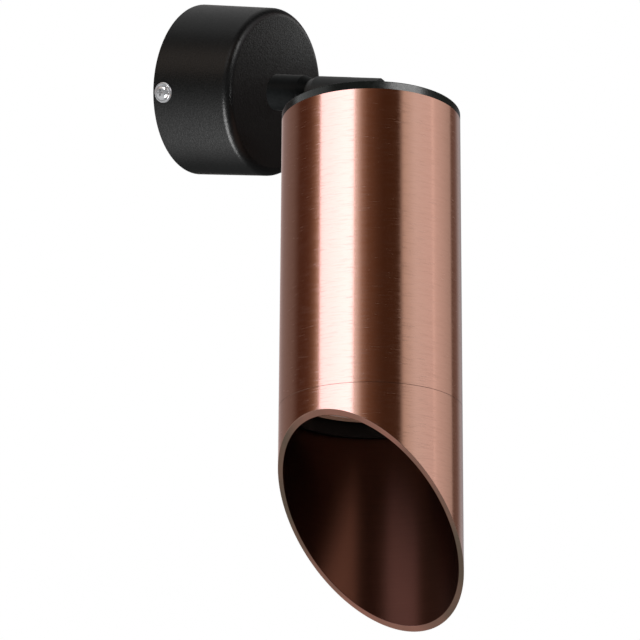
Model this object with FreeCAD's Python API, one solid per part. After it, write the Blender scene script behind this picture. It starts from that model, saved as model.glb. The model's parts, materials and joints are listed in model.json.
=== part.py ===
"""Wall sconce: a round rose, a swivelling arm with a tilting fork joint, and a tubular head.

The rose, its inner pieces and the arm are drawn in the wall frame: x to the right, y up and
z the distance from the wall. The head is drawn in its own frame: the tilt axis is x, the tube
hangs down z, and the origin is the pivot. Last, each piece is placed in the part's frame, whose
origin is the middle of the rose's back on the wall, with the room at minus Y and up at plus Z.
"""
import FreeCAD, Part
import math
import os

from FreeCAD import Vector

# Pose of the joints as the lamp is shown, in degrees
SWING_AT_REST = 21.2
TILT_AT_REST = 13.5
SHADE_TURN_AT_REST = -4.7

# Clearances, and how far a cutter runs past what it cuts
FIXED_CLEARANCE = 0.02
RUNNING_CLEARANCE = 0.05
FACE_PLAY = 0.05
HOLE_CLEARANCE = 0.15
OVERRUN = 1.0

# Rose: a tapered cup on the wall
ROSE_BACK_DIAMETER = 59.3
ROSE_TAPER_PER_SIDE = 1.3
ROSE_DEPTH = 30.8
ROSE_WALL = 1.2
ROSE_EDGE_RADIUS = 2.0
STOP_STUD_RADIUS = 1.0
STOP_STUD_REACH = 12.0
STOP_STUD_PAST_WASHER = 1.4

# Cover screws, through the rose's side into the plate's tabs
COVER_SCREW_RADIUS = 2.0
COVER_SCREW_LENGTH = 6.0
COVER_SCREW_STAND_OFF = 4.3
PAN_HEAD_RADIUS = 3.5
PAN_HEAD_HEIGHT = 2.1
PAN_HEAD_EDGE = 0.8
RECESS_LENGTH = 4.0
RECESS_WIDTH = 1.0
RECESS_DEPTH = 1.5

# Mounting plate on the wall, inside the rose
PLATE_RIM_GAP = 3.95
PLATE_THICKNESS = 1.5
TAB_GAP = 1.25
TAB_WIDTH = 10.0
TAB_PAST_SCREW = 2.0
TAB_BEND_RADIUS = 1.0
WALL_SLOT_EDGE = 4.0
WALL_SLOT_LENGTH = 9.0
WALL_SLOT_WIDTH = 4.5

# Rubber bush round the mains cable's way in
BUSH_HOLE_RADIUS = 5.5
BUSH_BORE_RADIUS = 3.5
BUSH_FLANGE_RADIUS = 7.0
BUSH_FLANGE_THICKNESS = 1.2
BUSH_MOUTH_CHAMFER = 0.6

# Earth terminal on the plate
EARTH_GAP_TO_BUSH = 2.9
EARTH_WASHER_RADIUS = 4.6
EARTH_WASHER_THICKNESS = 1.0
EARTH_SCREW_LENGTH = 2.3

# Terminal block: three poles side by side on the plate
POLE_COUNT = 3
POLE_PITCH = 8.0
BLOCK_GAP_TO_BUSH = 0.7
BLOCK_LENGTH = 12.0
BLOCK_BASE_THICKNESS = 4.0
BARREL_HEIGHT = 4.6
BARREL_WALL = 1.2
TOWER_RADIUS = 2.4
TOWER_TOP = 11.5
INSERT_RADIUS = 2.0
INSERT_WALL = 0.6
INSERT_SET_BACK = 0.8
CLAMP_SCREW_RADIUS = 1.25
CLAMP_SCREW_BELOW_TOP = 1.3
CLAMP_SCREW_TIP_GAP = 0.6
CLAMP_BORE_CLEARANCE = 0.25
CLAMP_SLOT_WIDTH = 0.6
CLAMP_SLOT_DEPTH = 0.7
BLOCK_SCREW_RADIUS = 1.25
BLOCK_SCREW_BOSS_RADIUS = 2.3
BLOCK_SCREW_BOSS_TOP = 7.8
BLOCK_SCREW_HEAD_RADIUS = 2.1
BLOCK_SCREW_HEAD_HEIGHT = 1.5
BLOCK_SCREW_TIP_SHORT_OF_WALL = 0.2

# Arm: a sleeve fixed to the rose, and a neck that turns on it
SLEEVE_DIAMETER = 12.4
SLEEVE_LENGTH = 14.7
SLEEVE_CHAMFER_LENGTH = 3.1
SLEEVE_WALL = 2.15
SPIGOT_SHOULDER = 0.9
SPIGOT_FLAT_DEPTH = 0.55
GROOVE_DEPTH = 1.2
SLIDE_WASHER_THICKNESS = 0.5
NECK_STEP_PER_SIDE = 0.15
NECK_BACK_CHAMFER_LENGTH = 2.3
NECK_END_CHAMFER_LENGTH = 1.6
NECK_END_CHAMFER_DEPTH = 0.85
NECK_THREAD_DEPTH = 7.5

# Swivel: hollow nipple, end stop, cup spring and two locked nuts
NIPPLE_WALL = 1.0
NIPPLE_TAIL = 1.0
WIRE_BORE_STEP = 0.2
STOP_WASHER_RADIUS = 8.5
STOP_WASHER_THICKNESS = 1.0
STOP_EAR_WIDTH = 2.4
STOP_EAR_PAST_STUD = 0.2
CUP_SPRING_RADIUS = 7.5
CUP_SPRING_THICKNESS = 0.6
CUP_SPRING_DISH = 0.5
NIPPLE_NUT_COUNT = 2
NIPPLE_NUT_FLAT_PAST_THREAD = 2.5
NIPPLE_NUT_THICKNESS = 3.0

# Tilting joint: fork in the neck, tongue on the cap, screw across both
PIVOT_ALONG_NECK = 23.4
NECK_OVERHANG = 5.8
FORK_CUT_BEHIND_PIVOT = 8.5
FORK_ROUNDING_PAST_NECK = 0.7
TONGUE_THICKNESS = 4.0
TONGUE_WIDTH = 8.0
TILT_SCREW_RADIUS = 1.5
TILT_SCREW_HEAD_RADIUS = 2.5
TILT_SCREW_HEAD_HEIGHT = 1.3
TILT_SCREW_SEAT_WALL = 1.6
TILT_SCREW_SLOT_WIDTH = 0.8
TILT_SCREW_SLOT_DEPTH = 0.7
TILT_SCREW_SHORT_OF_SURFACE = 0.4
TILT_WASHER_RADIUS = 3.9
TILT_WASHER_THICKNESS = 0.5
TONGUE_FOOT_WIDTH = 17.0
TONGUE_FOOT_DEPTH = 10.0
TONGUE_FOOT_THICKNESS = 2.5
TONGUE_SCREW_EDGE = 3.0
TONGUE_SCREW_RADIUS = 1.5
TONGUE_SCREW_BITE = 2.0
TONGUE_SCREW_HEAD_RADIUS = 2.5
TONGUE_SCREW_HEAD_HEIGHT = 1.6

# Cap and tube
CAP_GAP_TO_FORK = 0.38
CAP_RIM_THICKNESS = 2.7
CAP_EDGE_RADIUS = 0.35
CAP_SPIGOT_LENGTH = 7.0
CAP_SPIGOT_WALL = 2.0
CAP_WIRE_HOLE_RADIUS = 1.9
CAP_WIRE_HOLE_GAP = 0.3
TUBE_GAP_ROUND_LAMP = 3.5
TUBE_WALL = 1.5
TUBE_LENGTH = 100.25
SEAM_GAP = 0.25

# Shade: a tube cut off at a slant, with a ring that turns in the body tube
SHADE_WALL = 1.4
SHADE_SHORT_SIDE = 7.7
SHADE_LONG_SIDE = 68.3
RING_WALL = 1.65
RING_IN_TUBE = 8.0
RING_IN_SHADE = 2.0
GRIP_GROOVE_WIDTH = 2.0
GRIP_GROOVE_FLOOR = 0.65
GRIP_GROOVE_ABOVE_SEAM = 3.5

# Stirrup, lamp holder and its fixings
STIRRUP_HEIGHT = 22.7
STIRRUP_PAST_HOLDER = 1.45
STIRRUP_DEPTH = 14.0
STIRRUP_THICKNESS = 1.2
STIRRUP_TOP_GAP = 5.8
STIRRUP_BEND_RADIUS = 1.8
STIRRUP_WIRE_HOLE_RADIUS = 4.0
HOLDER_WIDTH = 25.5
HOLDER_SIDE_WALL = 1.35
HOLDER_HEIGHT = 22.0
HOLDER_CORNER_RADIUS = 3.0
HOLDER_SCREW_EDGE = 3.55
HOLDER_SCREW_RADIUS = 1.25
HOLDER_SCREW_HEAD_RADIUS = 2.2
HOLDER_SCREW_HEAD_HEIGHT = 1.4
HOLDER_SCREW_SINK = 2.0
HOLDER_SCREW_TAIL = 0.8
HOLDER_NUT_ACROSS_FLATS = 5.0
HOLDER_NUT_THICKNESS = 2.0
HOLDER_FLOOR = 2.5
HOLDER_CAVITY_HEIGHT = 5.3
HOLDER_LEAD_HOLE_RADIUS = 1.2
CONTACT_THICKNESS = 0.6
CONTACT_WIDTH = 3.6

# Spot lamp with two headed pins, locked by a twist
LAMP_PLAY = 0.07
LAMP_LENGTH = 50.5
LAMP_RADIUS = 25.0
LAMP_RIM_HEIGHT = 6.0
LAMP_RIM_WIDTH = 2.6
LAMP_NECK_RADIUS = 9.5
LAMP_NECK_LENGTH = 3.0
LAMP_BODY_RADIUS = 14.0
LAMP_BODY_LENGTH = 13.0
LAMP_FLUTE_COUNT = 12
LAMP_FLUTE_WIDTH = 2.0
LAMP_FLUTE_DEPTH = 1.2
LENS_RECESS = 1.6
LENS_THICKNESS = 1.2
PIN_CIRCLE_RADIUS = 5.0
PIN_NECK_RADIUS = 1.5
PIN_NECK_LENGTH = 2.8
PIN_HEAD_RADIUS = 2.4
PIN_HEAD_LENGTH = 4.0
PIN_CLEARANCE = 0.25
LOCK_TWIST = 25.0

# Directions, angles and the origin
ORIGIN = Vector(0, 0, 0)
X_AXIS = Vector(1, 0, 0)
Y_AXIS = Vector(0, 1, 0)
Z_AXIS = Vector(0, 0, 1)
QUARTER_TURN = 90.0
HALF_TURN = 180.0
FULL_TURN = 360.0
SIDES = (-1, 1)

# Sizes on the plate, in the rose
ROSE_BORE_RADIUS = ROSE_BACK_DIAMETER / 2 - ROSE_WALL
PLATE_RADIUS = ROSE_BORE_RADIUS - PLATE_RIM_GAP
TAB_REACH = ROSE_BORE_RADIUS - TAB_GAP
TAB_HEIGHT = COVER_SCREW_STAND_OFF + COVER_SCREW_RADIUS + TAB_PAST_SCREW
WALL_SLOT_REACH = PLATE_RADIUS - WALL_SLOT_EDGE - WALL_SLOT_LENGTH / 2
EARTH_HEIGHT = BUSH_FLANGE_RADIUS + EARTH_GAP_TO_BUSH + EARTH_WASHER_RADIUS
BLOCK_DROP = BUSH_FLANGE_RADIUS + BLOCK_GAP_TO_BUSH + BLOCK_LENGTH / 2
TOWER_SPACING = BLOCK_LENGTH / 2

# Sizes of the arm and its swivel
SLEEVE_RADIUS = SLEEVE_DIAMETER / 2
NECK_RADIUS = SLEEVE_RADIUS - NECK_STEP_PER_SIDE
GROOVE_RADIUS = SLEEVE_RADIUS - GROOVE_DEPTH
SPIGOT_RADIUS = SLEEVE_RADIUS - SPIGOT_SHOULDER
NIPPLE_RADIUS = SLEEVE_RADIUS - SLEEVE_WALL - RUNNING_CLEARANCE
NIPPLE_BORE_RADIUS = NIPPLE_RADIUS - NIPPLE_WALL
NIPPLE_NUT_ACROSS_FLATS = 2 * (NIPPLE_RADIUS + NIPPLE_NUT_FLAT_PAST_THREAD)
STOP_EAR_REACH = STOP_STUD_REACH + STOP_STUD_RADIUS + STOP_EAR_PAST_STUD
FORK_HALF_WIDTH = TONGUE_THICKNESS / 2 + FACE_PLAY + TILT_WASHER_THICKNESS
FORK_ROUNDING_RADIUS = NECK_RADIUS + FORK_ROUNDING_PAST_NECK

# Places in the wall frame, as distances from the wall
SLEEVE_END = ROSE_DEPTH + SLEEVE_LENGTH
NECK_START = SLEEVE_END + SLIDE_WASHER_THICKNESS
PIVOT_REACH = NECK_START + PIVOT_ALONG_NECK
NECK_END = PIVOT_REACH + NECK_OVERHANG
NIPPLE_END = NECK_START + NECK_THREAD_DEPTH
ROSE_INNER_FACE = ROSE_DEPTH - ROSE_WALL
CUP_SPRING_FRONT = ROSE_INNER_FACE - STOP_WASHER_THICKNESS
NUT_FRONT = CUP_SPRING_FRONT - CUP_SPRING_THICKNESS - CUP_SPRING_DISH
NUT_BACK = NUT_FRONT - NIPPLE_NUT_COUNT * NIPPLE_NUT_THICKNESS
NIPPLE_START = NUT_BACK - NIPPLE_TAIL

# Sizes of the head
TUBE_RADIUS = LAMP_RADIUS + TUBE_GAP_ROUND_LAMP + TUBE_WALL
TUBE_BORE_RADIUS = TUBE_RADIUS - TUBE_WALL
SHADE_BORE_RADIUS = TUBE_RADIUS - SHADE_WALL
STIRRUP_WIDTH = HOLDER_WIDTH + 2 * STIRRUP_PAST_HOLDER
HOLDER_DEPTH = 2 * (PIN_CIRCLE_RADIUS + PIN_HEAD_RADIUS + PIN_CLEARANCE + HOLDER_SIDE_WALL)

# Places in the head frame, as heights over the pivot
CAP_TOP = -FORK_ROUNDING_RADIUS - CAP_GAP_TO_FORK
CAP_UNDERSIDE = CAP_TOP - CAP_RIM_THICKNESS
TUBE_BOTTOM = CAP_UNDERSIDE - TUBE_LENGTH
SHADE_TOP = TUBE_BOTTOM - SEAM_GAP
FOOT_BOTTOM = CAP_UNDERSIDE - TONGUE_FOOT_THICKNESS
STIRRUP_BOTTOM = FOOT_BOTTOM - STIRRUP_HEIGHT
HOLDER_BOTTOM = STIRRUP_BOTTOM - HOLDER_HEIGHT
CAVITY_BOTTOM = HOLDER_BOTTOM + HOLDER_FLOOR
CAVITY_TOP = CAVITY_BOTTOM + HOLDER_CAVITY_HEIGHT
LAMP_TOP = HOLDER_BOTTOM - LAMP_PLAY
LAMP_FACE = LAMP_TOP - LAMP_LENGTH


def turned(profile):
    """Solid of revolution about z from the (radius, height) corners of its half section."""
    corners = [Vector(radius, 0, height) for radius, height in profile]
    section = Part.Face(Part.makePolygon(corners + corners[:1]))
    return section.revolve(ORIGIN, Z_AXIS, FULL_TURN)


def rod(radius, low, high, x=0, y=0):
    """Cylinder along z."""
    return Part.makeCylinder(radius, high - low, Vector(x, y, low))


def ring(outer, inner, low, high, x=0, y=0):
    """Cylinder along z with a hole through it."""
    return rod(outer, low, high, x, y).cut(rod(inner, low - OVERRUN, high + OVERRUN, x, y))


def cross_rod(radius, low, high, y, z):
    """Cylinder along x."""
    return Part.makeCylinder(radius, high - low, Vector(low, y, z), X_AXIS)


def upright_rod(radius, low, high, x, z):
    """Cylinder along y."""
    return Part.makeCylinder(radius, high - low, Vector(x, low, z), Y_AXIS)


def block(width, depth, low, high, x=0, y=0):
    """Box with its middle at x and y, from one height to another."""
    return Part.makeBox(width, depth, high - low, Vector(x - width / 2, y - depth / 2, low))


def hexagon(across_flats, low, high, x=0, y=0):
    """Hexagonal prism with its corners turned off, as a nut has."""
    corner = across_flats / 2 / math.cos(math.pi / 6)
    turns = [math.pi / 3 * index for index in range(6)]
    corners = [Vector(corner * math.cos(turn), corner * math.sin(turn), low) for turn in turns]
    prism = Part.Face(Part.makePolygon(corners + corners[:1])).extrude(Vector(0, 0, high - low))
    bevel = (corner - across_flats / 2) / 2
    envelope = turned([(0, low), (corner - bevel, low), (corner, low + bevel),
                       (corner, high - bevel), (corner - bevel, high), (0, high)])
    prism = prism.common(envelope)
    prism.translate(Vector(x, y, 0))
    return prism


def fillet_where(shape, radius, wanted):
    """Rounds the edges whose bounding box passes the test."""
    return shape.makeFillet(radius, [edge for edge in shape.Edges if wanted(edge.BoundBox)])


def united(shapes):
    """One solid from touching shapes."""
    whole = shapes[0]
    for shape in shapes[1:]:
        whole = whole.fuse(shape)
    return whole.removeSplitter()


def domed_head(radius, height, edge):
    """Low domed screw head that sits on z zero."""
    rise = height - edge
    crown_radius = (radius ** 2 + rise ** 2) / (2 * rise)
    middle = radius / 2
    middle_height = height - crown_radius + math.sqrt(crown_radius ** 2 - middle ** 2)
    foot = Vector(radius, 0, 0)
    shoulder = Vector(radius, 0, edge)
    top = Vector(0, 0, height)
    outline = [Part.makeLine(ORIGIN, foot), Part.makeLine(foot, shoulder),
               Part.Arc(shoulder, Vector(middle, 0, middle_height), top).toShape(),
               Part.makeLine(top, ORIGIN)]
    return Part.Face(Part.Wire(outline)).revolve(ORIGIN, Z_AXIS, FULL_TURN)


def pan_screw(length):
    """Cross-recessed pan screw, head up, with its seat on z zero."""
    head = domed_head(PAN_HEAD_RADIUS, PAN_HEAD_HEIGHT, PAN_HEAD_EDGE)
    screw = united([head, rod(COVER_SCREW_RADIUS, -length, 0)])
    floor = PAN_HEAD_HEIGHT - RECESS_DEPTH
    top = PAN_HEAD_HEIGHT + OVERRUN
    screw = screw.cut(block(RECESS_LENGTH, RECESS_WIDTH, floor, top))
    return screw.cut(block(RECESS_WIDTH, RECESS_LENGTH, floor, top))


def arc_slot(half_width, low, high, first_turn, sweep):
    """Curved slot on the pin circle, with round ends, from one turn on by a sweep."""
    inner = PIN_CIRCLE_RADIUS - half_width
    outer = PIN_CIRCLE_RADIUS + half_width
    corners = [Vector(inner, 0, low), Vector(outer, 0, low),
               Vector(outer, 0, high), Vector(inner, 0, high)]
    band = Part.Face(Part.makePolygon(corners + corners[:1])).revolve(ORIGIN, Z_AXIS, sweep)
    first_end = rod(half_width, low, high, PIN_CIRCLE_RADIUS)
    last_end = rod(half_width, low, high, PIN_CIRCLE_RADIUS)
    last_end.rotate(ORIGIN, Z_AXIS, sweep)
    slot = united([band, first_end, last_end])
    slot.rotate(ORIGIN, Z_AXIS, first_turn)
    return slot


def on_wall(shape):
    """From the wall frame to the part's frame."""
    shape.rotate(ORIGIN, X_AXIS, QUARTER_TURN)
    return shape


def on_arm(shape):
    """From the wall frame to the part's frame, swung with the neck."""
    on_wall(shape).rotate(ORIGIN, Y_AXIS, SWING_AT_REST)
    return shape


def on_head(shape):
    """From the head frame to the part's frame."""
    shape.rotate(ORIGIN, X_AXIS, -TILT_AT_REST)
    shape.rotate(ORIGIN, Y_AXIS, SWING_AT_REST)
    shape.translate(Vector(0, -PIVOT_REACH, 0))
    return shape


def on_shade(shape):
    """From the head frame to the part's frame, turned with the shade."""
    shape.rotate(ORIGIN, Z_AXIS, SHADE_TURN_AT_REST)
    return on_head(shape)


def rose_radius(distance):
    """Outer radius of the tapered rose at a distance from the wall."""
    taper = ROSE_TAPER_PER_SIDE / (ROSE_DEPTH - ROSE_EDGE_RADIUS)
    return ROSE_BACK_DIAMETER / 2 - taper * distance


def spigot_outline(clearance, low, high):
    """Round spigot with one flat on top, which keeps the sleeve from turning."""
    flat = SPIGOT_RADIUS - SPIGOT_FLAT_DEPTH + clearance
    spigot = rod(SPIGOT_RADIUS + clearance, low, high)
    above = block(SLEEVE_DIAMETER, SLEEVE_DIAMETER, low - OVERRUN, high + OVERRUN,
                  0, flat + SLEEVE_DIAMETER / 2)
    return spigot.cut(above)


def rose_cover():
    """Tapered cup with a rounded front edge, side holes, a keyed centre hole and a stop stud."""
    cup = Part.makeCone(rose_radius(0), rose_radius(ROSE_DEPTH), ROSE_DEPTH)
    cup = fillet_where(cup, ROSE_EDGE_RADIUS, lambda box: box.ZMin > ROSE_INNER_FACE)
    inner_back = rose_radius(-OVERRUN) - ROSE_WALL
    inner_front = rose_radius(ROSE_INNER_FACE) - ROSE_WALL
    hollow = Part.makeCone(inner_back, inner_front, ROSE_INNER_FACE + OVERRUN,
                           Vector(0, 0, -OVERRUN))
    hollow = fillet_where(hollow, ROSE_EDGE_RADIUS - ROSE_WALL,
                          lambda box: box.ZMin > ROSE_INNER_FACE - ROSE_WALL)
    cup = cup.cut(hollow)
    reach = ROSE_BACK_DIAMETER
    hole_radius = COVER_SCREW_RADIUS + HOLE_CLEARANCE
    cup = cup.cut(cross_rod(hole_radius, -reach, reach, 0, COVER_SCREW_STAND_OFF))
    cup = cup.cut(spigot_outline(FIXED_CLEARANCE, ROSE_INNER_FACE - OVERRUN, ROSE_DEPTH + OVERRUN))
    stud = rod(STOP_STUD_RADIUS, CUP_SPRING_FRONT - STOP_STUD_PAST_WASHER,
               ROSE_INNER_FACE + ROSE_WALL / 2, 0, STOP_STUD_REACH)
    return on_wall(united([cup, stud]))


def cover_screws():
    """The two screws in the rose's sides."""
    screws = []
    for side in SIDES:
        screw = pan_screw(COVER_SCREW_LENGTH)
        screw.rotate(ORIGIN, Y_AXIS, side * QUARTER_TURN)
        screw.translate(Vector(side * ROSE_BACK_DIAMETER / 2, 0, COVER_SCREW_STAND_OFF))
        screws.append(on_wall(screw))
    return Part.makeCompound(screws)


def wall_slot(x):
    """Stadium-shaped cutter for one wall screw."""
    half_run = (WALL_SLOT_LENGTH - WALL_SLOT_WIDTH) / 2
    top = PLATE_THICKNESS + OVERRUN
    ends = [rod(WALL_SLOT_WIDTH / 2, -OVERRUN, top, x + side * half_run) for side in SIDES]
    return united(ends + [block(2 * half_run, WALL_SLOT_WIDTH, -OVERRUN, top, x)])


def quarter_bend(middle_x, middle_z, radius):
    """Start, middle and end of a bend that turns from along x to up z, round a middle."""
    lean = radius * math.cos(math.pi / 4)
    return (Vector(middle_x, 0, middle_z - radius), Vector(middle_x + lean, 0, middle_z - lean),
            Vector(middle_x + radius, 0, middle_z))


def plate_tab(side):
    """Bent tab of the plate that takes a cover screw."""
    middle_x = TAB_REACH - PLATE_THICKNESS - TAB_BEND_RADIUS
    middle_z = PLATE_THICKNESS + TAB_BEND_RADIUS
    outside = quarter_bend(middle_x, middle_z, TAB_BEND_RADIUS + PLATE_THICKNESS)
    inside = quarter_bend(middle_x, middle_z, TAB_BEND_RADIUS)
    outer_top = Vector(TAB_REACH, 0, TAB_HEIGHT)
    inner_top = Vector(TAB_REACH - PLATE_THICKNESS, 0, TAB_HEIGHT)
    root_top = Vector(0, 0, PLATE_THICKNESS)
    outline = [Part.makeLine(ORIGIN, outside[0]), Part.Arc(*outside).toShape(),
               Part.makeLine(outside[2], outer_top), Part.makeLine(outer_top, inner_top),
               Part.makeLine(inner_top, inside[2]), Part.Arc(*reversed(inside)).toShape(),
               Part.makeLine(inside[0], root_top), Part.makeLine(root_top, ORIGIN)]
    tab = Part.Face(Part.Wire(outline)).extrude(Vector(0, TAB_WIDTH, 0))
    tab.translate(Vector(0, -TAB_WIDTH / 2, 0))
    if side < 0:
        tab.rotate(ORIGIN, Z_AXIS, HALF_TURN)
    return tab


def mounting_plate():
    """Round steel plate with two bent tabs, two wall slots, a cable hole and tapped holes."""
    disc = rod(PLATE_RADIUS, 0, PLATE_THICKNESS)
    plate = united([disc] + [plate_tab(side) for side in SIDES])
    top = PLATE_THICKNESS + OVERRUN
    plate = plate.cut(rod(BUSH_HOLE_RADIUS, -OVERRUN, top))
    tapped = COVER_SCREW_RADIUS + FIXED_CLEARANCE
    plate = plate.cut(cross_rod(tapped, -TAB_REACH - OVERRUN, TAB_REACH + OVERRUN, 0,
                                COVER_SCREW_STAND_OFF))
    plate = plate.cut(rod(tapped, -OVERRUN, top, 0, EARTH_HEIGHT))
    for side in SIDES:
        plate = plate.cut(wall_slot(side * WALL_SLOT_REACH))
        plate = plate.cut(rod(BLOCK_SCREW_RADIUS + FIXED_CLEARANCE, -OVERRUN, top,
                              side * POLE_PITCH / 2, -BLOCK_DROP))
    return on_wall(plate)


def cable_bush():
    """Rubber bush that lines the plate's cable hole."""
    flange_top = PLATE_THICKNESS + BUSH_FLANGE_THICKNESS
    neck_radius = BUSH_HOLE_RADIUS - FIXED_CLEARANCE
    bush = turned([(BUSH_BORE_RADIUS, 0), (neck_radius, 0), (neck_radius, PLATE_THICKNESS),
                   (BUSH_FLANGE_RADIUS, PLATE_THICKNESS),
                   (BUSH_FLANGE_RADIUS, flange_top - BUSH_MOUTH_CHAMFER),
                   (BUSH_FLANGE_RADIUS - BUSH_MOUTH_CHAMFER, flange_top),
                   (BUSH_BORE_RADIUS + BUSH_MOUTH_CHAMFER, flange_top),
                   (BUSH_BORE_RADIUS, flange_top - BUSH_MOUTH_CHAMFER)])
    return on_wall(bush)


def earth_washer():
    """Clamping washer of the earth terminal."""
    return on_wall(ring(EARTH_WASHER_RADIUS, COVER_SCREW_RADIUS + HOLE_CLEARANCE, PLATE_THICKNESS,
                        PLATE_THICKNESS + EARTH_WASHER_THICKNESS, 0, EARTH_HEIGHT))


def earth_screw():
    """Screw of the earth terminal, tapped into the plate."""
    screw = pan_screw(EARTH_SCREW_LENGTH)
    screw.translate(Vector(0, EARTH_HEIGHT, PLATE_THICKNESS + EARTH_WASHER_THICKNESS))
    return on_wall(screw)


def pole_places():
    """Sideways place of each pole of the terminal block."""
    return [(index - (POLE_COUNT - 1) / 2) * POLE_PITCH for index in range(POLE_COUNT)]


def tower_places():
    """Place of each clamp screw of the terminal block."""
    return [(x, -BLOCK_DROP + side * TOWER_SPACING / 2) for x in pole_places() for side in SIDES]


def terminal_block():
    """Moulded housing: a base, a barrel along each pole and two screw towers on each barrel."""
    base_top = PLATE_THICKNESS + BLOCK_BASE_THICKNESS
    barrel_axis = PLATE_THICKNESS + BARREL_HEIGHT
    tower_top = PLATE_THICKNESS + TOWER_TOP
    boss_top = PLATE_THICKNESS + BLOCK_SCREW_BOSS_TOP
    back = -BLOCK_DROP - BLOCK_LENGTH / 2
    front = -BLOCK_DROP + BLOCK_LENGTH / 2
    pieces = [block(POLE_COUNT * POLE_PITCH, BLOCK_LENGTH, PLATE_THICKNESS, base_top, 0, -BLOCK_DROP)]
    barrel_radius = INSERT_RADIUS + BARREL_WALL
    pieces += [upright_rod(barrel_radius, back, front, x, barrel_axis) for x in pole_places()]
    pieces += [rod(TOWER_RADIUS, barrel_axis, tower_top, x, y) for x, y in tower_places()]
    pieces += [rod(BLOCK_SCREW_BOSS_RADIUS, PLATE_THICKNESS, boss_top, side * POLE_PITCH / 2,
                   -BLOCK_DROP) for side in SIDES]
    housing = united(pieces)
    for x in pole_places():
        housing = housing.cut(upright_rod(INSERT_RADIUS + FIXED_CLEARANCE, back - OVERRUN,
                                          front + OVERRUN, x, barrel_axis))
    clamp_bore = CLAMP_SCREW_RADIUS + CLAMP_BORE_CLEARANCE
    for x, y in tower_places():
        housing = housing.cut(rod(clamp_bore, barrel_axis, tower_top + OVERRUN, x, y))
    for side in SIDES:
        housing = housing.cut(rod(BLOCK_SCREW_RADIUS + FIXED_CLEARANCE, PLATE_THICKNESS - OVERRUN,
                                  boss_top + OVERRUN, side * POLE_PITCH / 2, -BLOCK_DROP))
    return on_wall(housing)


def terminal_inserts():
    """Brass tubes that clamp the wires, one in each barrel."""
    barrel_axis = PLATE_THICKNESS + BARREL_HEIGHT
    half_length = BLOCK_LENGTH / 2 - INSERT_SET_BACK
    low = -BLOCK_DROP - half_length
    high = -BLOCK_DROP + half_length
    inserts = []
    for x in pole_places():
        insert = upright_rod(INSERT_RADIUS, low, high, x, barrel_axis)
        insert = insert.cut(upright_rod(INSERT_RADIUS - INSERT_WALL, low - OVERRUN, high + OVERRUN,
                                        x, barrel_axis))
        for side in SIDES:
            insert = insert.cut(rod(CLAMP_SCREW_RADIUS + FIXED_CLEARANCE, barrel_axis,
                                    barrel_axis + INSERT_RADIUS + OVERRUN, x,
                                    -BLOCK_DROP + side * TOWER_SPACING / 2))
        inserts.append(on_wall(insert))
    return Part.makeCompound(inserts)


def terminal_screws():
    """Slotted clamp screws, two for each pole."""
    screws = []
    top = PLATE_THICKNESS + TOWER_TOP - CLAMP_SCREW_BELOW_TOP
    tip = PLATE_THICKNESS + BARREL_HEIGHT + CLAMP_SCREW_TIP_GAP
    for x, y in tower_places():
        screw = rod(CLAMP_SCREW_RADIUS, tip, top, x, y)
        screw = screw.cut(block(2 * TOWER_RADIUS, CLAMP_SLOT_WIDTH, top - CLAMP_SLOT_DEPTH,
                                top + OVERRUN, x, y))
        screws.append(on_wall(screw))
    return Part.makeCompound(screws)


def block_screws():
    """Screws that hold the terminal block to the plate."""
    screws = []
    seat = PLATE_THICKNESS + BLOCK_SCREW_BOSS_TOP
    top = seat + BLOCK_SCREW_HEAD_HEIGHT
    for side in SIDES:
        x = side * POLE_PITCH / 2
        head = rod(BLOCK_SCREW_HEAD_RADIUS, seat, top, x, -BLOCK_DROP)
        shank = rod(BLOCK_SCREW_RADIUS, BLOCK_SCREW_TIP_SHORT_OF_WALL, seat, x, -BLOCK_DROP)
        screw = united([head, shank])
        screw = screw.cut(block(2 * BLOCK_SCREW_HEAD_RADIUS, CLAMP_SLOT_WIDTH,
                                top - CLAMP_SLOT_DEPTH, top + OVERRUN, x, -BLOCK_DROP))
        screws.append(on_wall(screw))
    return Part.makeCompound(screws)


def arm_sleeve():
    """Tube fixed on the rose's front, with a keyed spigot behind and a chamfer in front."""
    sleeve = turned([(0, ROSE_DEPTH), (SLEEVE_RADIUS, ROSE_DEPTH),
                     (SLEEVE_RADIUS, SLEEVE_END - SLEEVE_CHAMFER_LENGTH),
                     (GROOVE_RADIUS, SLEEVE_END), (0, SLEEVE_END)])
    sleeve = united([sleeve, spigot_outline(0, ROSE_INNER_FACE, ROSE_DEPTH)])
    bore = NIPPLE_RADIUS + RUNNING_CLEARANCE
    return on_wall(sleeve.cut(rod(bore, ROSE_INNER_FACE - OVERRUN, SLEEVE_END + OVERRUN)))


def slide_washer():
    """Thin washer between sleeve and neck, at the bottom of the groove."""
    return on_arm(ring(GROOVE_RADIUS, NIPPLE_RADIUS + FIXED_CLEARANCE, SLEEVE_END, NECK_START))


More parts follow.
